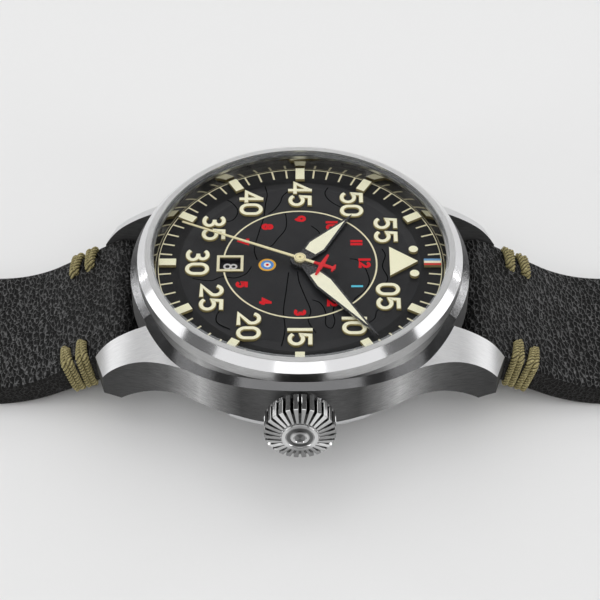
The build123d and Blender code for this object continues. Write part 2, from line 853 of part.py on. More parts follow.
def battery_strap():
    """A contact strap across the battery, standing on two posts."""
    high = battery_top - battery_thickness - seat_gap
    low = high - strap_thickness
    ends = [polar(strap_reach, battery_deg + side, battery_at) for side in (90, -90)]
    body = bar(*ends, strap_width, low, high)
    for end in ends:
        body += disc(strap_post_radius, high, plate_bottom, end)
    return body


def circuit_board():
    high = plate_bottom - seat_gap
    low = high - board_thickness
    reach = board_radius + overrun
    wedge = [(0, 0), polar(reach, board_deg[0]), polar(reach, sum(board_deg) / 2), polar(reach, board_deg[1])]
    return ring(board_radius, board_bore, low, high) & plate(wedge, low, high)


def circuit_chip():
    high = plate_bottom - seat_gap - board_thickness
    place = polar(chip_place, sum(board_deg) / 2)
    return Pos(*place, high - chip_height / 2) * Rot(0, 0, sum(board_deg) / 2) * Box(chip_side, chip_side, chip_height)


def quartz_can():
    high = plate_bottom - seat_gap - board_thickness
    degrees = sum(board_deg) / 2
    turn = Rot(0, 0, degrees + 90) * Rot(0, 90, 0)
    return Pos(*polar(quartz_place, degrees), high - quartz_radius) * turn * Cylinder(quartz_radius, quartz_length)


def movement_holder():
    body = ring(rehaut_wall_radius, holder_bore_radius, holder_bottom, -dial_thickness - seat_gap)
    return body - stem_disc(stem_radius + loose_gap, holder_bore_radius - overrun, case_radius)


def stem():
    body = stem_disc(stem_radius, stem_square_end, groove_wall[0])
    body += stem_disc(groove_radius, *groove_wall)
    thread_end = crown_start + crown_recess_depth + stem_thread_length
    body += stem_disc(stem_radius, groove_wall[1], thread_end)
    middle = (stem_inner_end + stem_square_end) / 2
    square = Box(stem_square_end - stem_inner_end, stem_square, stem_square)
    return body + Pos(middle, 0, stem_height) * square


def clutch_wheel():
    """A sliding wheel that the square of the stem turns."""
    end = clutch_start + clutch_length
    third = clutch_length / 3
    body = stem_disc(clutch_radius, clutch_start, clutch_start + third)
    body += stem_disc(clutch_waist_radius, clutch_start, end)
    body += stem_disc(clutch_radius, end - third, end)
    hole = Box(clutch_length + overrun, stem_square + 2 * seat_gap, stem_square + 2 * seat_gap)
    return body - Pos((clutch_start + end) / 2, 0, stem_height) * hole


def flute_ring(radius, depth, place):
    """The outline of the crown's flutes at one place along its axis, as a face across it."""
    pitch = 360 / crown_flutes
    points = []
    for flute in range(crown_flutes):
        middle = flute * pitch
        land = pitch * crown_land_share / 2
        points.append(polar(radius, middle - land))
        points.append(polar(radius, middle + land))
        points.append(polar(radius - depth, middle + pitch / 2))
    return make_face(Polyline(*[(place, x, z + stem_height) for x, z in points], close=True))


def crown():
    """A fluted barrel that runs into a fluted cone, with a turned boss on its end."""
    wide = flute_ring(crown_radius, crown_flute_depth, crown_barrel_start)
    shoulder = flute_ring(crown_radius, crown_flute_depth, crown_cone_start)
    nose = flute_ring(crown_nose_radius, crown_nose_flute_depth, crown_cone_end)
    body = extrude(wide, crown_barrel, dir=(1, 0, 0)) + loft([shoulder, nose], ruled=True)
    body += stem_disc(crown_neck_radius, crown_start, crown_barrel_start)
    body += stem_disc(crown_boss_radius, crown_cone_end, crown_end)
    groove = stem_disc(crown_groove_radii[0], crown_end - crown_groove_depth, crown_end + overrun)
    body -= groove - stem_disc(crown_groove_radii[1], 0, crown_end + overrun)
    body -= stem_disc(crown_dimple_radius, crown_end - crown_groove_depth, crown_end + overrun)
    body -= stem_disc(crown_recess_radius, crown_start - overrun, crown_start + crown_recess_depth)
    thread_end = crown_start + crown_recess_depth + stem_thread_length
    return body - stem_disc(stem_radius, crown_start, thread_end)


def crown_seal():
    start = crown_start + seal_place
    body = stem_disc(crown_recess_radius - seat_gap, start, start + seal_width)
    return body - stem_disc(tube_radius + seat_gap, start - overrun, start + overrun)


def crown_tube():
    start = rehaut_wall_radius + seat_gap
    end = case_radius + tube_stand_out
    return stem_disc(tube_radius, start, end) - stem_disc(tube_bore_radius, start - overrun, end + overrun)


def case_back():
    seat = -foot_depth
    inside = -dial_height + back_thickness
    slope_top = seat - back_rim_height
    points = [(0, inside), (back_spigot_bore, inside), (back_spigot_bore, seat + back_spigot_height)]
    points += [(back_thread_radius, seat + back_spigot_height)]
    thread_low = seat + back_spigot_height - back_thread_height
    points += [(back_thread_radius, thread_low), (back_neck_radius, thread_low), (back_neck_radius, seat)]
    points += [(back_rim_radius, seat), (back_rim_radius, slope_top), (back_face_radius, -dial_height)]
    body = turned(points + [(0, -dial_height)])
    slot = Pos(back_rim_radius, 0, slope_top) * Box(2 * back_slot_depth, back_slot_width, back_slot_depth)
    for index in range(back_slots):
        body -= Rot(0, 0, 360 / back_slots * (index + 1 / 2)) * slot
    return body


def back_gasket():
    low = -foot_depth
    return ring(back_thread_radius, back_neck_radius + seat_gap, low, low + back_gasket_height)


def spring_bar(side):
    turn = Pos(0, side * bar_reach, bar_height) * Rot(0, 90, 0)
    body = turn * Cylinder(bar_radius, lug_gap - 2 * seat_gap)
    return body + turn * Cylinder(bar_pivot_radius, lug_gap + 2 * bar_pivot_length)


# Side view of the strap, at +Y; the half at -Y is its mirror image
strap_half_width = half_gap - strap_side_gap
slope_turn = math.radians(strap_slope_deg)
along = (math.cos(slope_turn), -math.sin(slope_turn))
upward = (math.sin(slope_turn), math.cos(slope_turn))


def slope_point(run, lift):
    """A point of the strap's slope: its run from the spring bar, and its lift over the middle line."""
    return (bar_reach + run * along[0] + lift * upward[0], bar_height + run * along[1] + lift * upward[1])


bend_at = slope_point(slope_length, bend_radius)
flat_start = bend_at[0]
flat_middle = bend_at[1] - bend_radius
strap_low = flat_middle - bend_end_thickness / 2
buckle_bar_place = bar_reach + strap_short_length
short_low = strap_low + short_lift
buckle_bar_height = short_low + short_end_thickness / 2
strap_end = bar_reach + strap_long_length
short_lift_end = buckle_bar_place - short_lift_setback
fixed_keeper_place = buckle_bar_place - fixed_keeper_setback
sliding_keeper_place = fixed_keeper_place - sliding_keeper_setback


def slope_half_thickness(run):
    share = run / slope_length
    return roll_radius + (slope_end_thickness / 2 - roll_radius) * share


def strap_profile(top_points, low_points):
    """The strap's side outline from the roll, down the slope and through the bend to its flat run."""
    mid_turn = slope_turn / 2
    top_radius = bend_radius - bend_end_thickness / 2
    low_radius = bend_radius + bend_end_thickness / 2
    top_end = (bend_at[0], bend_at[1] - top_radius)
    low_end = (bend_at[0], bend_at[1] - low_radius)
    top_mid = (bend_at[0] - top_radius * math.sin(mid_turn), bend_at[1] - top_radius * math.cos(mid_turn))
    low_mid = (bend_at[0] - low_radius * math.sin(mid_turn), bend_at[1] - low_radius * math.cos(mid_turn))
    half = slope_end_thickness / 2
    top_start, low_start = slope_point(slope_length, half), slope_point(slope_length, -half)
    top_roll, low_roll = slope_point(0, roll_radius), slope_point(0, -roll_radius)

    def lay(point):
        return (0, point[0], point[1])

    edges = Polyline(lay(low_roll), lay(top_roll), lay(top_start))
    edges += ThreePointArc(lay(top_start), lay(top_mid), lay(top_end))
    edges += Polyline(*[lay(point) for point in [top_end, *top_points, *low_points, low_end]])
    edges += ThreePointArc(lay(low_end), lay(low_mid), lay(low_start))
    edges += Line(lay(low_start), lay(low_roll))
    return make_face(edges)


def strap_body(top_points, low_points, plan):
    body = extrude(strap_profile(top_points, low_points), strap_half_width, dir=(1, 0, 0), both=True)
    roll = Pos(0, bar_reach, bar_height) * Rot(0, 90, 0) * Cylinder(roll_radius, 2 * strap_half_width)
    body = (body + roll) & plate(plan, strap_low - overrun, overrun)
    bore = Pos(0, bar_reach, bar_height) * Rot(0, 90, 0) * Cylinder(strap_bore_radius, lug_gap + overrun)
    body -= bore
    for side in (1, -1):
        for runs in lace_runs:
            for tool in lace_tools(side, runs):
                body -= tool
    return body


def lace_corners(hole_run, top_run, low_run):
    """Corners (x, run, lift) of one turn of cord, all in one leaning plane."""
    edge_x = strap_half_width - lace_inset + cord_radius
    top_hole = slope_half_thickness(hole_run) + cord_radius
    top_edge = slope_half_thickness(top_run) + cord_radius
    low_edge = slope_half_thickness(low_run) + cord_radius
    low_hole = slope_half_thickness(hole_run + low_run - top_run) + cord_radius
    share = (top_hole + low_hole) / (top_edge + low_edge)
    low_hole_run = hole_run + share * (low_run - top_run)
    return (
        (lace_hole_place, hole_run, top_hole),
        (edge_x, top_run, top_edge),
        (edge_x, low_run, -low_edge),
        (lace_hole_place, low_hole_run, -low_hole),
    )


def lace_cut(side, x, top, low, tool):
    """A tool through the strap, leaning as the cord does between two corners of its turn."""
    y, z = slope_point((top[1] + low[1]) / 2, 0)
    lean = math.degrees(math.atan2(low[1] - top[1], top[2] - low[2]))
    return Pos(side * x, y, z) * Rot(lean - strap_slope_deg, 0, 0) * tool


def lace_tools(side, runs):
    """The hole of one turn, and the dent that its tight cord leaves in the strap's edge."""
    corners = lace_corners(*runs)
    depth = lace_inset + cord_radius
    hole = Cylinder(lace_hole_radius, 4 * roll_radius)
    dent = Box(2 * depth, 2 * lace_hole_radius, 4 * roll_radius)
    return (
        lace_cut(side, lace_hole_place, corners[0], corners[3], hole),
        lace_cut(side, strap_half_width + cord_radius, corners[1], corners[2], dent),
    )


def lace_loop(side, runs):
    """One turn of cord: through its hole, slanting to the strap's edge, round it and back below."""
    corners = []
    for x, run, lift in lace_corners(*runs):
        y, z = slope_point(run, lift)
        corners.append((side * x, y, z))
    first = Vector(*corners[1]) - Vector(*corners[0])
    middle = (Vector(*corners[0]) + Vector(*corners[1])) * 0.5
    start = Plane(origin=middle, z_dir=first)
    loop = Polyline(middle, *corners[1:], corners[0], middle)
    return sweep(start * RegularPolygon(cord_radius, 8), path=loop, transition=Transition.RIGHT)


def strap_long():
    far = strap_end
    flat_low = [(far, strap_low)]
    flat_top = [(far, strap_low + tail_thickness)]
    nose = far - tail_point_length
    plan = [(strap_half_width, 0), (strap_half_width, flat_start), (tail_half_width, nose)]
    plan += [(tail_point_half_width, far), (-tail_point_half_width, far), (-tail_half_width, nose)]
    plan += [(-strap_half_width, flat_start), (-strap_half_width, 0)]
    body = strap_body(flat_top, flat_low, plan)
    for index in range(hole_count):
        place = far - last_hole_place - index * hole_pitch
        body -= disc(hole_radius, strap_low - overrun, overrun, (0, place))
    return mirror(body, Plane.XZ)


def strap_short():
    top = short_low + short_end_thickness
    flat_top = [(short_lift_end, top), (buckle_bar_place, top)]
    flat_low = [(buckle_bar_place, short_low), (short_lift_end, short_low)]
    plan = [(strap_half_width, 0), (strap_half_width, flat_start), (tail_half_width, short_lift_end)]
    plan += [(tail_half_width, buckle_bar_place + overrun), (-tail_half_width, buckle_bar_place + overrun)]
    plan += [(-tail_half_width, short_lift_end), (-strap_half_width, flat_start), (-strap_half_width, 0)]
    body = strap_body(flat_top, flat_low, plan)
    turn = Pos(0, buckle_bar_place, buckle_bar_height) * Rot(0, 90, 0)
    body += turn * Cylinder(short_roll_radius, 2 * tail_half_width)
    body -= turn * Cylinder(buckle_bar_radius + run_gap, lug_gap)
    slot_start = buckle_bar_place - tongue_slot_length
    return body - block(
        (-tongue_slot_half_width, slot_start, short_low - overrun),
        (tongue_slot_half_width, buckle_bar_place + overrun, overrun),
    )


def lacing(side_y):
    loops = [lace_loop(side, runs) for side in (1, -1) for runs in lace_runs]
    return [loop if side_y > 0 else mirror(loop, Plane.XZ) for loop in loops]


buckle_inner = tail_half_width + buckle_leg_gap
buckle_outer = buckle_inner + buckle_leg_width
front_top = strap_low + buckle_front_depth
front_start = buckle_bar_place + buckle_reach - buckle_front_length


def buckle_frame():
    """A U-shaped frame: an eye on each leg for the bar, and a lower front that the tongue rests on."""
    turn = Pos(0, buckle_bar_place, buckle_bar_height) * Rot(0, 90, 0)
    front_end = buckle_bar_place + buckle_reach
    outline = [(buckle_bar_place, buckle_bar_height - buckle_eye_radius), (front_start, strap_low)]
    outline += [(front_end, strap_low), (front_end, front_top), (front_start, front_top)]
    outline += [(buckle_bar_place, buckle_bar_height + buckle_eye_radius)]
    body = side_solid(outline, buckle_outer) + turn * Cylinder(buckle_eye_radius, 2 * buckle_outer)
    inside = block(
        (-buckle_inner, buckle_bar_place - overrun, strap_low - overrun), (buckle_inner, front_start, overrun)
    )
    return body - inside - turn * Cylinder(buckle_bar_radius + seat_gap, 2 * buckle_outer + overrun)


def buckle_bar():
    turn = Pos(0, buckle_bar_place, buckle_bar_height) * Rot(0, 90, 0)
    return turn * Cylinder(buckle_bar_radius, 2 * buckle_outer)


def buckle_tongue():
    """A round tongue with an eye on the bar, lying over the front of the frame."""
    turn = Pos(0, buckle_bar_place, buckle_bar_height) * Rot(0, 90, 0)
    width = 2 * (tongue_slot_half_width - loose_gap)
    body = turn * Cylinder(tongue_eye_radius, width)
    start = (buckle_bar_place, buckle_bar_height + tongue_eye_radius - tongue_radius)
    tip_place = buckle_bar_place + buckle_reach + tongue_overhang
    end = (tip_place, front_top + tongue_radius + run_gap)
    run = math.dist(start, end)
    pitch = math.degrees(math.atan2(end[1] - start[1], end[0] - start[0]))
    rod = Cylinder(tongue_radius, run, align=centre_up)
    body += Pos(0, *start) * Rot(pitch - 90, 0, 0) * rod
    return body - turn * Cylinder(buckle_bar_radius + run_gap, lug_gap)


def keeper(place, low, room_low):
    """A leather loop round the strap, with room above it for the other half's end."""
    start, end = place - keeper_length / 2, place + keeper_length / 2
    inner = tail_half_width + keeper_side_gap
    top = short_low + short_end_thickness + keeper_room
    body = block((-inner - keeper_wall, start, low), (inner + keeper_wall, end, top + keeper_wall))
    return body - block((-inner, start - overrun, room_low), (inner, end + overrun, top))


def fixed_keeper():
    """Its ends are sewn into the strap's sides, so it has no wall below."""
    half = tail_half_width
    top = short_low + short_end_thickness + keeper_room
    start, end = fixed_keeper_place - keeper_length / 2, fixed_keeper_place + keeper_length / 2
    body = block((-half - keeper_wall, start, short_low), (half + keeper_wall, end, top + keeper_wall))
    return body - block((-half, start - overrun, strap_low - overrun), (half, end + overrun, top))


def sliding_keeper():
    return keeper(sliding_keeper_place, short_low - keeper_wall, short_low - seat_gap)


save("case_middle", case_middle())
save("bezel", bezel())
save("crystal", crystal())
save("crystal_gasket", crystal_gasket())
save("rehaut_ring", rehaut())
save("dial", dial())
save("dial_markers", *dial_markers())
save("date_window_frame", date_window_frame())
save("hour_hand", hour_hand())
save("hour_hand_lume", lume(*hour_shape, hour_lume_start, hour_hand_height, hour_hand_deg))
save("minute_hand", minute_hand())
save("minute_hand_lume", lume(*minute_shape, minute_lume_start, minute_hand_height, minute_hand_deg))
save("seconds_hand", seconds_hand())
save("cannon_pinion", cannon_pinion())
save("hour_wheel", hour_wheel())
save("minute_wheel", minute_wheel())
save("centre_wheel", centre_wheel())
save("seconds_wheel", seconds_wheel())
save("third_wheel", third_wheel())
save("fifth_wheel", fifth_wheel())
save("step_rotor", step_rotor())
save("date_ring", date_ring())
save("main_plate", main_plate())
save("train_bridge", train_bridge())
save("movement_screws", *movement_screws())
save("setting_lever", setting_lever())
save("stator", stator())
save("coil_block", coil_block())
save("battery", battery())
save("battery_strap", battery_strap())
save("circuit_board", circuit_board())
save("circuit_chip", circuit_chip())
save("quartz_can", quartz_can())
save("movement_holder", movement_holder())
save("stem", stem())
save("clutch_wheel", clutch_wheel())
save("crown", crown())
save("crown_seal", crown_seal())
save("crown_tube", crown_tube())
save("case_back", case_back())
save("back_gasket", back_gasket())
save("spring_bars", *[spring_bar(side) for side in (1, -1)])
save("strap_long", strap_long())
save("strap_short", strap_short())
save("lacing_long", *lacing(-1))
save("lacing_short", *lacing(1))
save("buckle_frame", buckle_frame())
save("buckle_bar", buckle_bar())
save("buckle_tongue", buckle_tongue())
save("fixed_keeper", fixed_keeper())
save("sliding_keeper", sliding_keeper())
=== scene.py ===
import math
import bpy
from mathutils import Matrix, Vector


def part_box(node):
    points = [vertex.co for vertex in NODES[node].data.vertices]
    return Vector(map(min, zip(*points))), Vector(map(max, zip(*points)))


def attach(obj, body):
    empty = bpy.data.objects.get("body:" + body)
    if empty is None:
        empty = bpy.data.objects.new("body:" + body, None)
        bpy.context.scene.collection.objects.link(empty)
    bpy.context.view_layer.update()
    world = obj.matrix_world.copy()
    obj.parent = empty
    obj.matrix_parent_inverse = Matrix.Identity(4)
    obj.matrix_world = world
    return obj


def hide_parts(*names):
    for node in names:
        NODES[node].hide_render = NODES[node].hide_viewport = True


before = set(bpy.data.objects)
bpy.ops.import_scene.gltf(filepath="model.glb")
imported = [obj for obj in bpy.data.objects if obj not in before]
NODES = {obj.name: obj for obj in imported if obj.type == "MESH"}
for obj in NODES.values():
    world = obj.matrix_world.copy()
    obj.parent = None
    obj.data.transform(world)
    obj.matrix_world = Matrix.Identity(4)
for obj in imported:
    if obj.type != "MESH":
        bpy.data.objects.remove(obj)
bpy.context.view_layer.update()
MM = 0.001

# Heights from the frame, in millimetres: the dial's middle and its lower track, the floor, the date ring
MIDDLE_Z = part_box("dial")[1].z / MM
TRACK_Z = MIDDLE_Z - 0.15
FLOOR_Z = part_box("strap_long")[0].z / MM
DATE_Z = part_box("date_ring")[1].z / MM

# The camera stands where the photograph was taken from: outwards of the dial's middle, and above it
CAMERA_DISTANCE = (188.03, 182.0)
CAMERA_PITCH = math.radians(45.04)
CAMERA_LENS = 126.69

# Where a finish or a painted shade or reflection changes, in millimetres from the dial's axis, or from the
# crown's for its boss
STEP_RADIUS, MIDDLE_RADIUS, CAP_RADIUS, BOSS_RADIUS = 21.15, 14.95, 0.76, 2.3
BACK_RADIUS, BACK_RINGS = 17.0, ((12.9, 13.3), (16.7, 16.95))
CASE_REACH, STRAP_SHADE_REACH, TAIL_REACH = 25.0, 40.0, 1.9

# The striped marker, and the size of the leather's pebbles
BLOCK_START, BLOCK_HALF_WIDTH, STRIPE_EDGE = 15.2, 0.7, 0.2
LEATHER_CELL = 0.52


class Socket:
    """A socket whose arithmetic adds Math nodes to its tree."""

    def __init__(self, maker, socket):
        self.maker, self.socket = maker, socket

    def math(self, operation, *values):
        return self.maker.node("ShaderNodeMath", {"operation": operation}, *(values or (self,)))

    def __add__(self, other): return self.math("ADD", self, other)
    def __radd__(self, other): return self.math("ADD", other, self)
    def __sub__(self, other): return self.math("SUBTRACT", self, other)
    def __rsub__(self, other): return self.math("SUBTRACT", other, self)
    def __mul__(self, other): return self.math("MULTIPLY", self, other)
    def __truediv__(self, other): return self.math("DIVIDE", self, other)
    def __pow__(self, other): return self.math("POWER", self, other)
    def above(self, limit): return self.math("GREATER_THAN", self, limit)
    def below(self, limit): return self.math("LESS_THAN", self, limit)
    def size(self): return self.math("ABSOLUTE", self)


def distance(a, b):
    """How far a point lies from an axis, by its two places beside it."""
    return (a * a + b * b) ** 0.5


class Maker:
    """Adds nodes to a tree: the type, its settings, then the values or links of its sockets."""

    def __init__(self, tree):
        self.tree = tree

    def node(self, kind, settings, *values, out=0, **named):
        made = self.tree.nodes.new(kind)
        for key, value in settings.items():
            if key == "stops":
                self.set_stops(made.color_ramp, value)
            else:
                setattr(made, key, value)
        pairs = list(enumerate(values)) + [(key.replace("_", " "), value) for key, value in named.items()]
        for key, value in pairs:
            self.feed(made.inputs[key], value)
        return Socket(self, made.outputs[out])

    def feed(self, target, value):
        if isinstance(value, Socket):
            self.tree.links.new(value.socket, target)
        else:
            target.default_value = value

    def set_stops(self, ramp, stops):
        while len(ramp.elements) < len(stops):
            ramp.elements.new(0.5)
        for element, (place, colour) in zip(ramp.elements, stops):
            element.position = place
            element.color = (*colour, 1.0) if hasattr(colour, "__len__") else (colour, colour, colour, 1.0)


class Finish(Maker):
    """A material in the making, ended by shade()."""

    def __init__(self, name):
        self.material = bpy.data.materials.new(name)
        self.material.use_nodes = True
        super().__init__(self.material.node_tree)
        self.tree.nodes.clear()
        self.output = self.tree.nodes.new("ShaderNodeOutputMaterial")
        self.point = self.node("ShaderNodeTexCoord", {}, out=3)

    def place(self, scale=(1, 1, 1), turn=(0, 0, 0), shift=(0, 0, 0)):
        """The point on the piece, in metres of the shared frame, scaled and turned."""
        return self.node("ShaderNodeMapping", {}, self.point, Location=shift, Rotation=turn, Scale=scale)

    def parts(self, vector=None):
        """The three numbers of a vector."""
        split = self.node("ShaderNodeSeparateXYZ", {}, vector or self.point)
        return [Socket(self, split.socket.node.outputs[index]) for index in range(3)]

    def facing(self):
        """How far the surface faces up, from -1 to 1, by its own direction, which turns with the piece."""
        return self.parts(self.node("ShaderNodeTexCoord", {}, out=1))[2]

    def noise(self, scale, detail=2.0, roughness=0.5, place=None):
        """Noise with this many waves to a millimetre."""
        return self.node("ShaderNodeTexNoise", {}, place or self.point, Scale=scale / MM, Detail=detail,
                         Roughness=roughness)

    def ramp(self, value, *stops):
        return self.node("ShaderNodeValToRGB", {"stops": stops}, value)

    def mix(self, share, first, second):
        made = self.node("ShaderNodeMix", {"data_type": "RGBA"}, share, out=2).socket.node
        for index, value in ((6, first), (7, second)):
            self.feed(made.inputs[index], (*value, 1.0) if isinstance(value, tuple) else value)
        return Socket(self, made.outputs[2])

    def mottled(self, colour, dark, scale, detail=2.0, start=0.35):
        """A colour that sinks here and there to a share of itself."""
        cloud = self.noise(scale, detail)
        deep = tuple(value * dark for value in colour)
        return self.mix(self.ramp(cloud, (start, 0.0), (0.7, 1.0)), deep, colour)

    def shade(self, base, roughness, metallic=0.0, relief=None, **more):
        """The finished material. Relief is a height, its depth in millimetres and its strength."""
        if relief:
            height, depth, strength = relief
            more["Normal"] = self.node("ShaderNodeBump", {}, Strength=strength, Distance=depth * MM,
                                       Height=height)
        values = {"Base_Color": base, "Roughness": roughness, "Metallic": metallic, **more}
        values = {key: (*value, 1.0) if isinstance(value, tuple) and len(value) == 3 else value
                  for key, value in values.items()}
        made = self.node("ShaderNodeBsdfPrincipled", {}, **values)
        self.tree.links.new(made.socket, self.output.inputs[0])
        return self.material


def add_object(name, data):
    """A new object in the scene."""
    made = bpy.data.objects.new(name, data)
    bpy.context.scene.collection.objects.link(made)
    return made


class Growth(Maker):
    """A Geometry Nodes tree with named inputs, whose result becomes a plain mesh."""

    KINDS = {float: "NodeSocketFloat", int: "NodeSocketInt"}

    def __init__(self, name, **sizes):
        super().__init__(bpy.data.node_groups.new(name, "GeometryNodeTree"))
        self.sizes = sizes
        self.tree.interface.new_socket("Geometry", in_out="OUTPUT", socket_type="NodeSocketGeometry")
        self.tree.interface.new_socket("Geometry", in_out="INPUT", socket_type="NodeSocketGeometry")
        for key, value in sizes.items():
            kind = self.KINDS.get(type(value), "NodeSocketMaterial")
            self.tree.interface.new_socket(key, in_out="INPUT", socket_type=kind)
        self.start = self.tree.nodes.new("NodeGroupInput")

    def given(self, name):
        return Socket(self, self.start.outputs[name])

    def grow(self, result, host_data, name):
        """Puts the tree on a host, takes the mesh that comes out and removes the host."""
        result = self.node("GeometryNodeRealizeInstances", {}, result)
        result = self.node("GeometryNodeSetMaterial", {}, result, Material=self.given("Finish"))
        end = self.tree.nodes.new("NodeGroupOutput")
        self.tree.links.new(result.socket, end.inputs[0])
        host = add_object("host", host_data)
        modifier = host.modifiers.new("growth", "NODES")
        modifier.node_group = self.tree
        for item in self.tree.interface.items_tree:
            if item.in_out == "INPUT" and item.name in self.sizes:
                modifier[item.identifier] = self.sizes[item.name]
        view = bpy.context.evaluated_depsgraph_get()
        mesh = bpy.data.meshes.new_from_object(host.evaluated_get(view), depsgraph=view)
        mesh.name = name
        bpy.data.objects.remove(host)
        return add_object(name, mesh)


# Camera, lights and floor

def set_camera():
    camera = add_object("camera", bpy.data.cameras.new("camera"))
    camera.data.lens = CAMERA_LENS
    camera.data.clip_start = 0.01
    back = Vector((math.cos(CAMERA_PITCH), 0, math.sin(CAMERA_PITCH)))
    up = Vector((-math.sin(CAMERA_PITCH), 0, math.cos(CAMERA_PITCH)))
    turn = Matrix((Vector((0, 1, 0)), up, back)).transposed().to_4x4()
    place = Vector((CAMERA_DISTANCE[0], 0, TRACK_Z + CAMERA_DISTANCE[1])) * MM
    camera.matrix_world = Matrix.Translation(place) @ turn
    bpy.context.scene.camera = camera


def area_lamp(name, place, size, brightness):
    """A softbox turned to the watch, whose face is as bright as brightness times plain white."""
    light = bpy.data.lights.new(name, "AREA")
    light.shape = "RECTANGLE"
    light.size, light.size_y = size
    light.energy = brightness * math.pi * size[0] * size[1]
    lamp = add_object(name, light)
    lamp.location = place
    lamp.rotation_euler = (-Vector(place)).to_track_quat("-Z", "Y").to_euler()


def set_stage():
    scene = bpy.context.scene
    scene.view_settings.view_transform = "Standard"
    scene.world = bpy.data.worlds.new("studio")
    scene.world.use_nodes = True
    tree = scene.world.node_tree
    sky = Maker(tree)
    way = sky.node("ShaderNodeSeparateXYZ", {}, sky.node("ShaderNodeTexCoord", {}), out=2)
    shade = sky.node("ShaderNodeValToRGB", {"stops": [(0.0, 0.75), (0.14, 0.70), (0.30, 0.16)]}, way)
    tree.links.new(shade.socket, tree.nodes["Background"].inputs["Color"])
    bpy.ops.mesh.primitive_plane_add(size=6, location=(0, 0, FLOOR_Z * MM))
    floor = bpy.context.object
    floor.name = "floor"
    floor.data.materials.append(Finish("floor_pale").shade((0.8, 0.8, 0.8), 0.9))
    area_lamp("top_softbox", (0, 0, 1.9), (3.0, 3.0), 1.02)
    area_lamp("front_softbox", (1.13, 0, 1.05), (0.7, 0.9), 1.15)
    area_lamp("back_softbox", (-1.45, 0, 0.84), (1.7, 0.5), 1.3)
    for side in (1, -1):
        area_lamp("front_side_softbox", (0.99, side * 0.74, 0.93), (0.95, 0.8), 0.8)
        area_lamp("side_softbox", (-0.165, side * 1.35, 0.63), (0.85, 0.85), 1.2)
        for end in (1, -1):
            area_lamp("strip_light", (end * 0.78, side * 1.12, 0.38), (0.2, 0.6), 5.5)


# Finishes

def grain_height(finish):
    """Brush marks that run level on upright faces and along Y on the tops."""
    upright, flat = (finish.noise(28.0, 3.0, 0.6, finish.place(scale))
                     for scale in ((0.03, 0.03, 1), (1, 0.03, 0.03)))
    return finish.mix(finish.facing().size().above(0.6), upright, flat)


def round_grain_height(finish, fine=26.0):
    """Brush marks that run round the dial's axis."""
    x, y, z = finish.parts()
    around = y.math("ARCTAN2", y, x) * (0.6 * MM)
    return finish.noise(fine, 3.0, 0.6, finish.node("ShaderNodeCombineXYZ", {}, distance(x, y), around, z))


def case_steel():
    """Brushed lengthwise: dull upright flanks with painted shade and bands of painted sheen, paler lug
    tops, and a polished step under the bezel darkened as painted shade.
    """
    finish = Finish("steel_brushed")
    grain = grain_height(finish)
    tone = finish.node("ShaderNodeRGBToBW", {}, grain)
    cloud = finish.noise(0.22, 3.0, place=finish.place(scale=(1, 0.4, 1)))
    x, y = finish.parts()[:2]
    # Painted sheen: bright bands at set distances along Y stand in for the flanks' reflections
    painted_sheen = finish.ramp(y.size() / (CASE_REACH * MM), (0.0, 0.32), (0.14, 0.26), (0.28, 0.17),
                        (0.38, 0.46), (0.48, 1.0), (0.55, 0.66), (0.64, 0.32), (0.74, 0.22), (0.90, 0.17),
                        (1.0, 0.17))
    # The flanks' tone is kept darker than the lug tops as painted shade
    flank = finish.ramp(tone * 0.8 + cloud * 0.2, (0.3, 0.26), (0.7, 0.72)) * painted_sheen
    top = finish.ramp(tone, (0.25, (0.64, 0.64, 0.645)), (0.75, (0.82, 0.82, 0.823)))
    height = finish.facing()
    share = finish.ramp(height.size(), (0.25, 0.0), (0.6, 1.0))
    # The step under the bezel is polished, and its colour is darkened as painted shade
    step = distance(x, y).below(STEP_RADIUS * MM) * height.above(0.6)
    base = finish.mix(step, finish.mix(share, flank, top), (0.16, 0.16, 0.163))
    rough = (0.56 - share * 0.28 + tone * 0.10) * (1 - step * 0.75)
    return finish.shade(base, rough, 1.0, (grain, 0.010, 0.7), Anisotropic=0.8, Anisotropic_Rotation=0.25)


def bezel_steel():
    """The chamfer is polished, the top and the side are satin; the side is darker than the top as painted
    shade.
    """
    finish = Finish("steel_bezel")
    height = finish.facing()
    polished = height.above(0.4) * height.below(0.9)
    grain = round_grain_height(finish)
    satin = finish.ramp(grain, (0.25, 0.64), (0.75, 0.84))
    # Painted shade: the side's tone is darker than the satin top's
    side = finish.ramp(grain, (0.25, 0.36), (0.75, 0.60))
    base = finish.mix(polished, finish.mix(height.above(0.5), side, satin), (0.76, 0.76, 0.77))
    rough = (1 - polished) * (0.13 + grain * 0.12) + 0.11
    return finish.shade(base, rough, 1.0, relief=(grain * (1 - polished * 0.6), 0.005, 0.4))


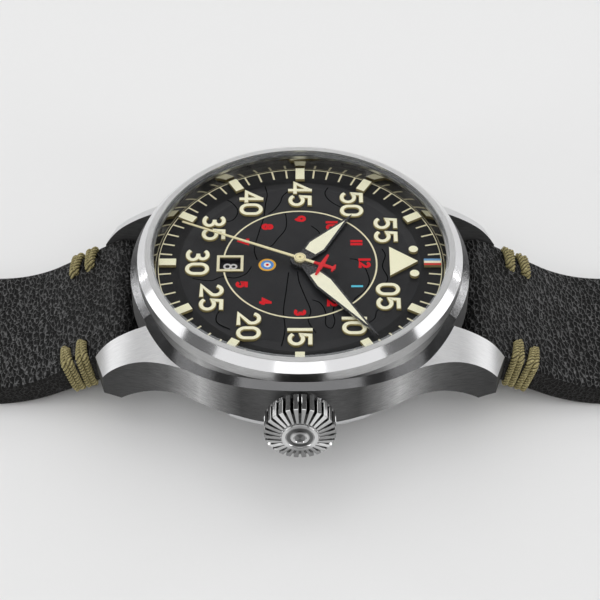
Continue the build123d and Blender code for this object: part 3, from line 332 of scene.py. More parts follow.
def crown_steel():
    """Polished lands over flutes darkened as painted shade, told apart by how deep the surface lies under
    the crown's outline.
    The lands and the ringed boss carry painted reflections that change round the axis, and the boss's
    grooves are darkened as painted shade."""
    finish = Finish("steel_crown")
    x, y, z = finish.parts(finish.place(shift=(0, 0, -CROWN_Z * MM)))
    reach = distance(y, z)
    sizes = (size * MM for size in (CROWN_CONE, CROWN_NOSE, CROWN_RADIUS, NOSE_RADIUS))
    outline = finish.node("ShaderNodeMapRange", {}, x, *sizes)
    # Painted shade: the flutes, lying deeper than the outline, get a dark colour
    depth = finish.ramp((outline - reach) / (0.6 * MM), (0.12, 0.0), (0.6, 1.0))
    depth = depth * reach.above(BOSS_RADIUS * MM)
    # Painted shade in the boss's grooves, paler on its rings
    ring = finish.ramp(reach / (BOSS_RADIUS * MM), (0.0, 0.16), (0.26, 0.20), (0.34, 0.66), (0.44, 0.60),
                       (0.52, 0.12), (0.66, 0.14), (0.76, 0.72), (0.95, 0.66))
    cloud = finish.noise(0.9, 3.0)
    turn = y.math("ARCTAN2", y, z).size() / math.pi
    # Painted reflection: facet tones that change round the crown's axis
    painted_facet_reflection = finish.ramp(turn, (0.0, 0.34), (0.10, 0.42), (0.20, 0.82), (0.28, 0.66), (0.38, 0.34),
                        (0.52, 0.30), (0.60, 0.46), (0.67, 0.80), (0.74, 0.62), (0.84, 0.30), (1.0, 0.24))
    # Painted glint: the boss is brighter to its sides than above and below
    painted_glint = finish.ramp(y.size() / reach, (0.0, 0.42), (0.50, 0.55), (0.80, 1.0))
    land = finish.mix(reach.above((BOSS_RADIUS - 0.02) * MM), ring * painted_glint, painted_facet_reflection)
    base = finish.mix(depth, land, finish.ramp(cloud, (0.3, 0.035), (0.7, 0.10)))
    return finish.shade(base, 0.07 + cloud * 0.06, 1.0, relief=(cloud, 0.004, 0.3))


def back_steel():
    """Turned satin on the flat of the back, two rings sunk into it by the bump and darkened as painted
    shade, and a polished rim.
    """
    finish = Finish("steel_back")
    radius = distance(*finish.parts()[:2]) / MM
    grain = round_grain_height(finish, 30.0)
    flat = finish.facing().size().above(0.9) * radius.below(BACK_RADIUS)
    # Two rings darkened as painted groove shade
    inner, outer = (radius.above(low) * radius.below(high) for low, high in BACK_RINGS)
    cut = inner + outer
    cloud = finish.noise(0.3, 3.0)
    satin = finish.ramp(grain * 0.8 + cloud * 0.2, (0.3, 0.38), (0.7, 0.70))
    base = finish.mix(cut, finish.mix(flat, (0.66, 0.66, 0.67), satin), (0.10, 0.10, 0.10))
    rough = flat * (0.20 + grain * 0.16) + 0.10
    return finish.shade(base, rough, 1.0, (grain * flat - cut * 2, 0.010, 0.6), Anisotropic=0.7)


def polished_steel(name="steel_polished", base=0.58, rough=0.10):
    finish = Finish(name)
    cloud = finish.noise(0.5, 4.0)
    scratch = finish.noise(22, place=finish.place(scale=(1, 0.05, 1)))
    colour = finish.ramp(cloud, (0.3, (base * 0.94,) * 3), (0.7, (base, base, base * 1.01)))
    return finish.shade(colour, rough + scratch * 0.08, 1.0, relief=(scratch, 0.003, 0.25))


def turned_metal(name, colour, rough=0.25, fine=16.0):
    """Machined metal with faint turning marks and a little tarnish."""
    finish = Finish(name)
    grain = round_grain_height(finish, fine)
    colour = finish.mottled(colour, 0.72, 0.35, 3.0)
    return finish.shade(colour, rough + grain * 0.15, 1.0, relief=(grain, 0.004, 0.4))


def moulded(name, colour, rough=0.45, coat=0.0):
    """Plastic or rubber with a fine moulded texture."""
    finish = Finish(name)
    fine = finish.noise(6, 3.0)
    colour = finish.mottled(colour, 0.78, 0.4, start=0.3)
    return finish.shade(colour, rough + fine * 0.15, relief=(fine, 0.01, 0.35), Coat_Weight=coat)


def clear_crystal():
    """Almost unseen on its flats, and a glass edge painted pale as a highlight."""
    finish = Finish("crystal_clear")
    edge = 1 - finish.facing().size().above(0.98)
    haze = finish.noise(0.08)
    # Painted highlight: the edge is pale and less clear than the flats
    base = finish.mix(edge, (0.02, 0.022, 0.025), (0.55, 0.57, 0.58))
    return finish.shade(base, 0.03 + haze * 0.03, Alpha=0.04 + edge * 0.26, IOR=1.45)


def dial_black():
    """Charcoal middle with a grained print, and a black track."""
    finish = Finish("dial_black")
    middle = distance(*finish.parts()[:2]).below(MIDDLE_RADIUS * MM)
    cloud = finish.noise(0.25, 4.0, 0.6)
    fine = finish.noise(9, 3.0)
    charcoal = finish.ramp(cloud, (0.3, (0.011, 0.011, 0.012)), (0.7, (0.021, 0.021, 0.023)))
    base = finish.mix(middle, (0.004, 0.004, 0.0045), charcoal)
    return finish.shade(base, 0.26 + fine * 0.12, relief=(fine, 0.004, 0.25), Specular_IOR_Level=0.32)


def lume_finish(name, colour=(0.98, 0.95, 0.70)):
    """Pale paste on top, with walls darkened as painted shade."""
    finish = Finish(name)
    up = finish.facing().above(0.9)
    grit = finish.noise(12)
    # Painted shade: the walls take a darker khaki than the top
    wall = finish.mix(grit, (0.40, 0.33, 0.13), (0.28, 0.231, 0.091))
    base = finish.mix(up, wall, finish.mottled(colour, 0.95, 1.2))
    return finish.shade(base, 0.55 + grit * 0.2, relief=(grit, 0.006, 0.3))


def marker_finish():
    """Cream markers; the one at 60 carries three stripes."""
    finish = Finish("marker_cream")
    up = finish.facing().above(0.9)
    x, y = finish.parts()[:2]
    grit = finish.noise(12)
    block = y.above(BLOCK_START * MM) * x.size().below(BLOCK_HALF_WIDTH * MM)
    stripe = finish.mix(x.above(-STRIPE_EDGE * MM), (0.16, 0.36, 0.62), (0.93, 0.88, 0.66))
    stripe = finish.mix(x.above(STRIPE_EDGE * MM), stripe, (0.62, 0.03, 0.02))
    cream = finish.mix(grit, (0.95, 0.92, 0.65), (0.99, 0.97, 0.71))
    # Painted shade: the walls take a darker khaki than the tops
    wall = finish.mix(grit, (0.36, 0.30, 0.13), (0.26, 0.21, 0.09))
    base = finish.mix(up, wall, finish.mix(block, cream, stripe))
    return finish.shade(base, 0.5 + grit * 0.2, relief=(grit, 0.006, 0.3))


def hand_metal():
    """Dark gunmetal blades, with edges painted paler as a highlight."""
    finish = Finish("hand_gunmetal")
    grain = finish.noise(18, 3.0, place=finish.place(scale=(1, 0.2, 1)))
    side = 1 - finish.facing().size().above(0.9)
    blade = finish.mix(grain, (0.10, 0.10, 0.105), (0.16, 0.16, 0.165))
    # Painted highlight on the edges
    base = finish.mix(side, blade, (0.42, 0.42, 0.42))
    return finish.shade(base, 0.18 + grain * 0.18, 1.0, relief=(grain, 0.004, 0.3))


def seconds_paint(turn):
    """Cream needle, red tail, and a pale cap, told apart along the hand."""
    finish = Finish("seconds_paint")
    x, y = finish.parts(finish.place(turn=(0, 0, turn)))[:2]
    reach = distance(x, y)
    cap = reach.below(CAP_RADIUS * MM)
    gold = finish.ramp(reach / (CAP_RADIUS * MM), (0.0, (0.10, 0.07, 0.03)), (0.13, (0.14, 0.10, 0.04)),
                       (0.17, (0.86, 0.76, 0.42)), (0.66, (0.90, 0.82, 0.50)), (0.74, (0.45, 0.37, 0.17)),
                       (0.84, (0.95, 0.88, 0.60)), (1.0, (0.80, 0.70, 0.40)))
    tail = reach.above(TAIL_REACH * MM) * y.below(0)
    grit = finish.noise(14)
    cream = finish.mix(grit, (0.82, 0.74, 0.44), (0.95, 0.88, 0.57))
    red = finish.mix(grit, (0.60, 0.006, 0.010), (0.78, 0.010, 0.018))
    base = finish.mix(cap, finish.mix(tail, cream, red), gold)
    return finish.shade(base, 0.30 + grit * 0.15, Coat_Weight=0.3, relief=(grit, 0.004, 0.3))


def rehaut_black():
    finish = Finish("rehaut_black")
    grain = round_grain_height(finish, 12.0)
    base = finish.ramp(grain, (0.3, (0.30, 0.29, 0.27)), (0.7, (0.42, 0.41, 0.38)))
    return finish.shade(base, 0.05 + grain * 0.06, 1.0, relief=(grain, 0.002, 0.2))


def leather(name, strap):
    """Pebbled calf: pits darkened as painted shade in a net of thin ridges, each with painted light on one
    side.
    A strap also has dull cut edges and a suede lining, and painted shade darkens it near the case."""
    finish = Finish(name)
    bend = finish.noise(0.6)
    drift = finish.node("ShaderNodeVectorMath", {"operation": "SCALE"}, bend, Scale=0.7 * MM)
    slanted = finish.place(scale=(0.62, 1, 1), turn=(0, 0, 0.45))
    point = finish.node("ShaderNodeVectorMath", {}, slanted, drift)
    size, edges = LEATHER_CELL * MM, {"feature": "DISTANCE_TO_EDGE"}
    cells = finish.node("ShaderNodeTexVoronoi", edges, point, Scale=1 / size)
    middle = finish.node("ShaderNodeTexVoronoi", {}, point, Scale=1 / size, out=2)
    pores = finish.node("ShaderNodeTexVoronoi", edges, point, Scale=2.1 / size)
    lean = finish.parts(finish.node("ShaderNodeVectorMath", {"operation": "SUBTRACT"}, point, middle))
    # Painted light: each ridge is paler on one side and darker on the other
    painted_ridge_light = finish.ramp((lean[0] - lean[1]) / size + 0.5, (0.25, 0.25), (0.75, 1.0))
    fine = finish.noise(10, 3.0)
    highlight_cloud = finish.noise(0.35)
    ridge = finish.ramp(cells, (0.0, 1.0), (0.08, 0.75), (0.22, 0.12), (0.5, 0.0))
    wrinkle = finish.ramp(pores, (0.0, 1.0), (0.08, 0.6), (0.22, 0.0))
    height = ridge * 0.72 + wrinkle * 0.28
    # Painted highlights whose strength changes from place to place
    painted_highlight_share = finish.ramp(highlight_cloud, (0.3, 0.75), (0.7, 1.0))
    # Painted shade in the pits, painted light on the ridges
    tone = finish.ramp(height * painted_ridge_light * painted_highlight_share + fine * 0.1, (0.05, 0.004), (0.35, 0.012), (0.85, 0.145))
    relief = height + fine * 0.12
    if strap:
        # Painted shade: darker near the case
        tone = tone * finish.ramp(finish.parts()[1].size() / (STRAP_SHADE_REACH * MM), (0.58, 0.72), (0.78, 1.0))
        up = finish.facing()
        cut = up.size().below(0.45)
        under = up.below(-0.45)
        suede = finish.noise(5, 4.0, 0.7)
        lining = finish.ramp(suede, (0.3, (0.030, 0.026, 0.022)), (0.7, (0.075, 0.064, 0.054)))
        tone = finish.mix(under, finish.mix(cut * 0.8, tone, (0.008, 0.0075, 0.007)), lining)
        relief = relief * (1 - cut * 0.6) * (1 - under) + suede * under * 0.3
    return finish.shade(tone, 0.56 - height * 0.2, relief=(relief, 0.2, 1.0), Specular_IOR_Level=0.1)


def cord_finish():
    """Waxed khaki thread: painted shade between its plies, and a mottle that is paler on the high fibres as
    painted light.
    """
    finish = Finish("cord_khaki")
    ply = finish.node("ShaderNodeAttribute", {"attribute_name": "ply"}, out=2)
    fibre = finish.noise(7, 4.0, 0.7)
    cloud = finish.noise(0.8)
    # Painted light: the fibres are paler where their bump stands high
    base = finish.ramp(fibre, (0.32, (0.09, 0.072, 0.022)), (0.5, (0.28, 0.24, 0.095)),
                       (0.68, (0.68, 0.61, 0.33)))
    base = finish.mix(cloud * 0.4, base, (0.24, 0.20, 0.09))
    # Painted shade in the creases between the plies
    base = finish.mix(finish.ramp(ply, (0.0, 1.0), (0.3, 0.75), (0.75, 0.0)), base, (0.05, 0.038, 0.012))
    return finish.shade(base, 0.72, relief=(fibre, 0.05, 0.9))


def ink(name, colour):
    finish = Finish(name)
    grit = finish.noise(16)
    base = finish.mix(grit, tuple(value * 0.85 for value in colour), colour)
    return finish.shade(base, 0.5 + grit * 0.15, relief=(grit, 0.004, 0.3), Specular_IOR_Level=0.25)


def groove_black():
    """Near black, as painted shade at the bottom of an engraved line."""
    finish = Finish("groove_black")
    grit = finish.noise(16)
    return finish.shade(finish.ramp(grit, (0.3, 0.0003), (0.7, 0.001)), 0.9, Specular_IOR_Level=0.0,
                        relief=(grit, 0.004, 0.3))


def dress(material, *nodes):
    for node in nodes:
        slots = NODES[node].data.materials
        slots.clear()
        slots.append(material)


# Meshes

class Shape:
    """Vertices in millimetres and faces, gathered from several strokes and lofts."""

    def __init__(self):
        self.points, self.faces = [], []

    def loft(self, rings, joined=False):
        """Faces between rings of equal count, whose order runs so that faces point outwards.
        The last ring is joined to the first, or both are closed off."""
        count, start = len(rings[0]), len(self.points)
        for ring in rings:
            self.points.extend(ring)
        pairs = len(rings) if joined else len(rings) - 1
        for i in range(pairs):
            a, b = start + i * count, start + (i + 1) % len(rings) * count
            for k in range(count):
                n = (k + 1) % count
                self.faces.append((a + k, a + n, b + n, b + k))
        if not joined:
            self.faces.append(tuple(range(start + count - 1, start - 1, -1)))
            last = start + (len(rings) - 1) * count
            self.faces.append(tuple(range(last, last + count)))

    def stroke(self, line, profile, base=0.0, closed=False):
        """A raised line on a flat face: profile holds (side, height) pairs from left to right."""
        rings = []
        for i, point in enumerate(line):
            before = line[i - 1] if i or closed else None
            after = line[(i + 1) % len(line)] if i + 1 < len(line) or closed else None
            sides = []
            for first, second in ((before, point), (point, after)):
                if first is not None and second is not None:
                    run = Vector(second) - Vector(first)
                    run.normalize()
                    sides.append(Vector((run.y, -run.x)))
            mean = sum(sides, Vector((0, 0))).normalized()
            mean /= max(0.55, mean.dot(sides[0]))
            rings.append([(point[0] + mean.x * u, point[1] + mean.y * u, base + v) for u, v in profile])
        self.loft(rings, closed)

    def made(self, name):
        """The plain object of this shape."""
        mesh = bpy.data.meshes.new(name)
        mesh.from_pydata([Vector(point) * MM for point in self.points], [], self.faces)
        return add_object(name, mesh)

    def piece(self, name, material, body, slot, smooth_deg=35):
        piece = self.made(name)
        piece.data.materials.append(material)
        return settle(piece, body, smooth_deg)


def smooth(piece, degrees):
    """Smooths a piece up to an angle between its faces."""
    piece.data.shade_smooth()
    piece.data.set_sharp_from_angle(angle=math.radians(degrees))


def settle(piece, body, smooth_deg=35):
    """Smooths a piece and lets it ride on its body."""
    smooth(piece, smooth_deg)
    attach(piece, body)
    return piece


def block_profile(width, height, bevel=0.0):
    half = width / 2
    if not bevel:
        return [(-half, 0), (-half, height), (half, height), (half, 0)]
    return [(-half, 0), (-half, height - bevel), (-half + bevel, height), (half - bevel, height),
            (half, height - bevel), (half, 0)]


def arc(centre, radii, start, end, count):
    """Points on an ellipse between two angles in degrees."""
    turns = [math.radians(start + (end - start) * i / count) for i in range(count + 1)]
    return [(centre[0] + radii[0] * math.cos(turn), centre[1] + radii[1] * math.sin(turn))
            for turn in turns]


def circle(centre, radius, count):
    """Points on a full circle."""
    return arc(centre, (radius, radius), 0, 360, count)[:-1]


# Dial figures: centre lines in a box W wide and H high. LAYER is the step between layers of print
W, H = 1.67, 2.47
LAYER = 0.006


def figure_lines():
    """Each figure's strokes: the line, whether it closes, and which of its ends run on by half a stroke."""
    waist = 1.30
    low, high = waist / 2, (H - waist) / 2
    half = (W / 2, W / 2)
    zero = arc((W / 2, H - W / 2), half, 0, 180, 12) + arc(half, half, 180, 360, 12)
    eye = arc((W / 2, H - 0.80), (W / 2, 0.80), 0, 360, 20)[:-1]
    stem = [(W, H - 0.8), (W - 0.06, 1.05), (W - 0.30, 0.45), (W - 0.85, 0.0)]
    return {
        "0": [(zero, "closed")],
        "1": [([(0, 0), (0, H)], "both")],
        "2": [(arc((0.84, H - 0.80), (0.80, 0.80), 165, -28, 14) + [(0.05, 0.0), (W, 0.0)], "end")],
        "3": [(arc((0.78, H - high), (0.74, high), 155, -90, 14) + [(0.60, waist)], "none"),
              ([(0.60, waist)] + arc((0.80, low), (0.87, low), 90, -152, 14), "none")],
        "4": [([(W + 0.05, 0.60), (0.0, 0.60), (1.27, H)], "start"), ([(1.32, H), (1.32, 0.0)], "both")],
        "5": [([(1.45, H), (0.18, H), (0.08, 1.40)] +
               arc((0.78, 0.80), (0.87, 0.80), 125, -150, 16), "start")],
        "6": [([(W - x, H - y) for x, y in eye], "closed"), ([(W - x, H - y) for x, y in stem], "none")],
        "7": [([(0.0, H), (W, H), (0.50, 0.0)], "both")],
        "8": [(arc((W / 2, H - high), (0.70, high), 0, 360, 18)[:-1], "closed"),
              (arc((W / 2, low), (0.82, low), 0, 360, 20)[:-1], "closed")],
        "9": [(eye, "closed"), (stem, "none")],
    }


FIGURES = figure_lines()


def add_number(shape, text, centre, cap, stroke, height, base, gap=0.18, width_share=1.0, turn=0.0):
    """A number on a flat face, upright to its own turn about the dial's axis."""
    scale = (cap - stroke) / H
    widths = [0 if figure == "1" else W * scale * width_share for figure in text]
    total = sum(widths) + (len(text) - 1) * (stroke + gap)
    left, low = -total / 2, -(cap - stroke) / 2
    bevel = 0.06 if height > 0.2 else 0.0
    cos, sin = math.cos(turn), math.sin(turn)
    for figure, width in zip(text, widths):
        for layer, (line, ends) in enumerate(FIGURES[figure]):
            placed = []
            for x, y in run_on(line, ends, stroke / 2 / scale):
                u, v = left + x * scale * width_share + centre[0], low + y * scale + centre[1]
                placed.append((u * cos - v * sin, u * sin + v * cos))
            profile = block_profile(stroke, height + layer * LAYER, bevel)
            shape.stroke(placed, profile, base, ends == "closed")
        left += width + stroke + gap


def run_on(line, ends, reach):
    """The line with its chosen ends carried on by reach."""
    line = list(line)
    for chosen, index, inner in (("start", 0, 1), ("end", -1, -2)):
        if ends in (chosen, "both"):
            tip, back = Vector(line[index]), Vector(line[inner])
            line[index] = tuple(tip + (tip - back).normalized() * reach)
    return line


MINUTE_PLACES = {"05": (6.0, 10.75), "10": (10.98, 6.55), "15": (12.88, 0), "20": (11.0, -6.17),
                 "25": (6.2, -10.8), "30": (0, -12.7), "35": (-6.2, -10.85), "40": (-10.85, -6.2),
                 "45": (-12.5, 0), "50": (-10.6, 6.55), "55": (-5.8, 10.75)}
HOUR_PLACES = {"12": (0, 8.0), "11": (-3.7, 7.05), "10": (-6.8, 4.0), "9": (-8.1, 0), "8": (-6.6, -4.1),
               "7": (-3.85, -7.1), "5": (3.75, -7.15), "4": (6.65, -4.2), "3": (8.55, 0), "2": (6.95, 4.0)}
ROUNDEL_PLACE, DATE_PLACE = (0.30, -4.05), (-0.12, -8.65)
TRACK_RADIUS, TICK_RADIUS, RING_RADIUS = 17.55, 16.75, 9.5
WINDOW_GAP = 9.6
PRINT_THICK = 0.012


def minute_figures(material):
    shape = Shape()
    for text, centre in MINUTE_PLACES.items():
        add_number(shape, text, centre, cap=3.05, stroke=0.58, height=0.38, base=TRACK_Z + 0.02)
    shape.piece("minute_figures", material, "case", "marker_cream", 25)


def hour_figures(red, blue):
    shape = Shape()
    for text, centre in HOUR_PLACES.items():
        add_number(shape, text, centre, cap=1.5, stroke=0.40, height=PRINT_THICK, base=MIDDLE_Z, gap=0.14)
    shape.piece("hour_figures", red, "case", "marker_cream")
    shape = Shape()
    add_number(shape, "1", (4.05, 7.0), cap=1.45, stroke=0.32, height=PRINT_THICK, base=MIDDLE_Z)
    shape.piece("hour_figure_one", blue, "case", "marker_cream")


def printed_rings(cream):
    """The minute track's outer line, and the thin ring that the date window breaks."""
    shape = Shape()
    shape.stroke(circle((0, 0), TRACK_RADIUS, 180), block_profile(0.10, PRINT_THICK), TRACK_Z, True)
    open_ring = arc((0, 0), (RING_RADIUS, RING_RADIUS), -90 + WINDOW_GAP, 270 - WINDOW_GAP + 1.5, 120)
    shape.stroke(open_ring, block_profile(0.20, PRINT_THICK), MIDDLE_Z)
    shape.piece("printed_rings", cream, "case", "marker_cream")


def minute_ticks(cream):
    """Sixty ticks round the track, each turned to the dial's middle."""
    growth = Growth("tick ring", Count=60, Radius=TICK_RADIUS * MM, Length=1.5 * MM, Width=0.22 * MM,
                    Thick=2 * PRINT_THICK * MM, Height=TRACK_Z * MM, Finish=cream)
    points = growth.node("GeometryNodeMeshCircle", {}, Vertices=growth.given("Count"),
                         Radius=growth.given("Radius"))
    sizes = (growth.given(name) for name in ("Length", "Width", "Thick"))
    size = growth.node("ShaderNodeCombineXYZ", {}, *sizes)
    tick = growth.node("GeometryNodeMeshCube", {}, Size=size)
    here = growth.node("GeometryNodeInputPosition", {})
    turn = growth.node("FunctionNodeAlignRotationToVector", {"axis": "X"}, Vector=here)
    ticks = growth.node("GeometryNodeInstanceOnPoints", {}, points, Instance=tick, Rotation=turn)
    lift = growth.node("ShaderNodeCombineXYZ", {}, 0.0, 0.0, growth.given("Height"))
    ticks = growth.node("GeometryNodeTransform", {}, ticks, Translation=lift)
    settle(growth.grow(ticks, bpy.data.meshes.new("host"), "minute_ticks"), "case")


# Engraved lines that wander over the dial's middle, drawn as thin strips of painted groove shade
GROOVES = [
    [(-9.6, -1.9), (-7.5, -1.7), (-6.0, -1.9), (-4.4, -2.8), (-3.1, -3.6), (-2.6, -4.9)],
    [(-14.2, -4.5), (-12.6, -4.2), (-10.8, -4.4), (-8.3, -4.6), (-5.4, -5.2), (-2.5, -5.7), (-0.6, -5.3)],
    [(-11.6, -9.3), (-11.0, -8.6), (-9.6, -7.9), (-8.1, -8.3), (-7.6, -9.2), (-8.2, -10.4)],
    [(1.5, -0.3), (3.3, -0.1), (5.8, 0.6), (8.3, 1.3), (10.0, 1.0), (12.0, 1.9)],
    [(1.6, -1.4), (5.0, -1.7), (8.3, -2.0), (11.4, -1.8), (14.2, -2.2)],
    [(6.6, 4.4), (8.4, 4.0), (10.0, 4.2), (11.2, 3.8), (10.6, 3.1), (8.6, 3.1), (7.0, 2.5), (6.4, 1.5)],
    [(-0.8, 6.2), (-0.6, 7.1), (0.2, 7.8), (1.7, 8.3), (3.3, 8.5), (5.0, 7.8), (6.2, 6.7), (7.8, 6.3)],
    [(-2.6, 10.2), (-1.4, 10.6), (0.6, 10.2), (2.6, 10.8), (4.0, 10.3)],
    [(8.0, -9.6), (9.2, -10.1), (10.4, -9.9), (11.4, -8.4)],
    [(-14.0, 3.6), (-12.9, 3.2), (-11.6, 3.7), (-10.4, 5.0), (-9.9, 6.2)],
    [(-13.6, -1.2), (-12.4, -2.2), (-11.2, -2.5), (-9.8, -3.2), (-9.0, -4.0)],
    [(0.6, -6.0), (1.9, -6.7), (2.6, -8.0), (2.4, -9.6), (3.1, -11.0), (2.7, -13.2)],
    [(-6.8, 1.4), (-5.6, 2.4), (-4.6, 2.2), (-3.4, 1.3)],
    [(10.6, 7.9), (9.6, 9.0), (8.2, 9.4), (7.4, 11.0)],
]


def smooth_line(points, steps=8):
    """Points along a smooth curve through the given ones."""
    line, last = [], len(points) - 1
    for i in range(last):
        near = points[max(i - 1, 0)], points[i], points[i + 1], points[min(i + 2, last)]
        for k in range(steps):
            t = k / steps
            line.append(tuple(0.5 * (2 * b + (c - a) * t + (2 * a - 5 * b + 4 * c - d) * t * t +
                                     (3 * b - a - 3 * c + d) * t ** 3) for a, b, c, d in zip(*near)))
    return line + [points[-1]]


def dial_grooves(dark):
    shape = Shape()
    for points in GROOVES:
        shape.stroke(smooth_line(points), block_profile(0.13, LAYER), MIDDLE_Z)
    shape.piece("dial_grooves", dark, "case", "dial_black")


def dial_roundel(layers):
    """A small plain target under the middle, printed in layers."""
    for index, (name, radius, material) in enumerate(layers):
        shape = Shape()
        edge = circle(ROUNDEL_PLACE, radius, 36)
        low = MIDDLE_Z + index * LAYER
        shape.loft([[(x, y, low) for x, y in edge], [(x, y, low + PRINT_THICK) for x, y in edge]])
        shape.piece(name, material, "case", "marker_cream")


def date_figures(white):
    """The days round the date ring, the eighth one in the window."""
    shape = Shape()
    for day in range(1, 32):
        share, turn = 0.80 if day < 10 else 0.40, math.radians((day - 8) * 360 / 31)
        add_number(shape, str(day), DATE_PLACE, cap=1.75, stroke=0.24, height=PRINT_THICK, base=DATE_Z,
                   gap=0.10, width_share=share, turn=turn)
    shape.piece("date_figures", white, "date_ring", "date_white")


# Strap: where its middle line runs, at +Y; the half at -Y is its mirror image
BAR_Y, BAR_Z = 22.3, 3.1
SLOPE = math.radians(28.0)
SLOPE_RUN, BEND_RADIUS = 9.5, 18.0
ROLL_RADIUS, SLOPE_HALF, BEND_HALF = 2.3, 1.8, 1.7
STRAP_HALF_WIDTH, TAIL_HALF_WIDTH, EDGE_ROUND = 9.85, 9.0, 0.55
FLAT_Y = BAR_Y + SLOPE_RUN * math.cos(SLOPE) + BEND_RADIUS * math.sin(SLOPE)
LONG_END, SHORT_END = 142.3, 95.3
TAIL_START, TAIL_TIP = 133.3, 3.2
SHORT_LIFT, SHORT_LIFT_END, SHORT_THICK, SHORT_ROLL = 0.95, 62.0, 2.6, 1.6
BAR_BORE, BUCKLE_BORE, TONGUE_HOLE = 0.85, 0.66, 1.05
HOLES, HOLE_PITCH, LAST_HOLE = 7, 6.5, 24.0
SWELL_RUN, SLOT_HALF_WIDTH, SLOT_DEPTH = 2.2, 1.1, 4.2

# Each turn of cord, by places down the slope: its hole, then the strap's upper and lower edge
LACES = ((3.68, 3.4, 4.9), (4.52, 4.3, 5.72), (6.15, 5.6, 6.58), (6.99, 6.45, 7.4))
LACE_HOLE_X, LACE_EDGE_X, LACE_HOLE_RADIUS, CORD_RADIUS = 6.7, 9.70, 0.34, 0.46
CORD_CORNER = 0.42
DENT_DEPTH, DENT_WIDTH = 0.46, 0.34

# The cords of a pair gather at their shared hole: by how much, across the strap and down its slope
GATHER = {3.68: (0.24, 0.20), 4.52: (-0.24, -0.20), 6.15: (0.24, 0.20), 6.99: (-0.24, -0.20)}


def slope_at(run, lift):
    return (BAR_Y + run * math.cos(SLOPE) + lift * math.sin(SLOPE),
            BAR_Z - run * math.sin(SLOPE) + lift * math.cos(SLOPE))


def slope_half(run):
    return ROLL_RADIUS + (SLOPE_HALF - ROLL_RADIUS) * run / SLOPE_RUN


def lace_dent(run, lift):
    """How far the tight cords pull the strap's edge in, along their slanted line."""
    depth = 0.0
    for _, top, low in LACES:
        middle = (top + low) / 2 - (low - top) / 2 * lift / slope_half(top)
        depth = max(depth, DENT_DEPTH * math.exp(-((run - middle) / DENT_WIDTH) ** 4))
    return depth


def strap_section(place, turn, half, half_width, run=None):
    """A rounded outline across the strap, on a point of its middle line."""
    corner = min(EDGE_ROUND, half * 0.98, half_width * 0.9)
    flat, outline = half - corner, []
    for side_x, side_v, start in ((-1, -1, 180), (1, -1, 270), (1, 1, 0), (-1, 1, 90)):
        centre = (side_x * (half_width - corner), side_v * flat)
        outline += arc(centre, (corner, corner), start, start + 90, 5)
        if start in (270, 90):
            outline += [(side_x * half_width, side_x * flat * share)
                        for share in (-0.66, -0.33, 0.0, 0.33, 0.66)]
    section = []
    for x, v in outline:
        if run is not None and abs(x) > half_width - corner - 0.01:
            x -= math.copysign(lace_dent(run, v), x)
        section.append((x, place[0] + v * math.sin(turn), place[1] + v * math.cos(turn)))
    return section


def strap_start():
    """Sections of the roll, the slope and the bend, the same for both halves."""
    sections, roll_steps, slope_steps, bend_steps = [], 14, 90, 12
    for step in range(roll_steps):
        angle = math.radians(88 - step * 88 / roll_steps)
        place = slope_at(-ROLL_RADIUS * math.sin(angle), 0)
        half_width = STRAP_HALF_WIDTH - 0.25 * math.sin(angle)
        sections.append(strap_section(place, SLOPE, ROLL_RADIUS * math.cos(angle), half_width, 0.0))
    for step in range(slope_steps + 1):
        run = SLOPE_RUN * step / slope_steps
        sections.append(strap_section(slope_at(run, 0), SLOPE, slope_half(run), STRAP_HALF_WIDTH, run))
    centre = slope_at(SLOPE_RUN, BEND_RADIUS)
    for step in range(1, bend_steps + 1):
        turn = SLOPE * (1 - step / bend_steps)
        place = (centre[0] - BEND_RADIUS * math.sin(turn), centre[1] - BEND_RADIUS * math.cos(turn))
        half = SLOPE_HALF + (BEND_HALF - SLOPE_HALF) * step / bend_steps
        sections.append(strap_section(place, turn, half, STRAP_HALF_WIDTH))
    return sections


def cut_with(piece, cutters):
    """Cuts closed meshes out of a piece and keeps the result as its plain mesh."""
    for cutter in cutters:
        modifier = piece.modifiers.new("cut", "BOOLEAN")
        modifier.object, modifier.operation, modifier.solver = cutter, "DIFFERENCE", "EXACT"
    view = bpy.context.evaluated_depsgraph_get()
    mesh = bpy.data.meshes.new_from_object(piece.evaluated_get(view), depsgraph=view)
    piece.modifiers.clear()
    piece.data = mesh
    for cutter in cutters:
        bpy.data.objects.remove(cutter)


def rod(shape, start, end, radius, count=24):
    """A round rod between two points."""
    start, end = Vector(start), Vector(end)
    run = (end - start).normalized()
    side = run.orthogonal().normalized()
    other = run.cross(side)
    turns = [2 * math.pi * k / count for k in range(count)]
    outline = [side * math.cos(turn) * radius + other * math.sin(turn) * radius for turn in turns]
    shape.loft([[tuple(place + point) for point in outline] for place in (start, end)])


def lace_corners(hole, top, low):
    """Corners (x, run, lift) of one turn of cord, all in one leaning plane."""
    lifts = [slope_half(run) + CORD_RADIUS * 0.9 for run in (hole, top, low, hole + low - top)]
    share = (lifts[0] + lifts[3]) / (lifts[1] + lifts[2])
    low_hole = hole + share * (low - top)
    return ((LACE_HOLE_X, hole, lifts[0]), (LACE_EDGE_X, top, lifts[1]), (LACE_EDGE_X, low, -lifts[2]),
            (LACE_HOLE_X, low_hole, -lifts[3]))


def lace_hole_cutter(side_y):
    shape = Shape()
    for side in (1, -1):
        for runs in LACES:
            top, _, _, low = lace_corners(*runs)
            ends = []
            for x, run, lift in (low, top):
                y, z = slope_at(run, lift)
                ends.append((side * x, side_y * y, z))
            rod(shape, *ends, LACE_HOLE_RADIUS, 16)
    return shape.made("cutter")


def bar_cutter(place_y, place_z, radius):
    shape = Shape()
    rod(shape, (-12, place_y, place_z), (12, place_y, place_z), radius)
    return shape.made("cutter")


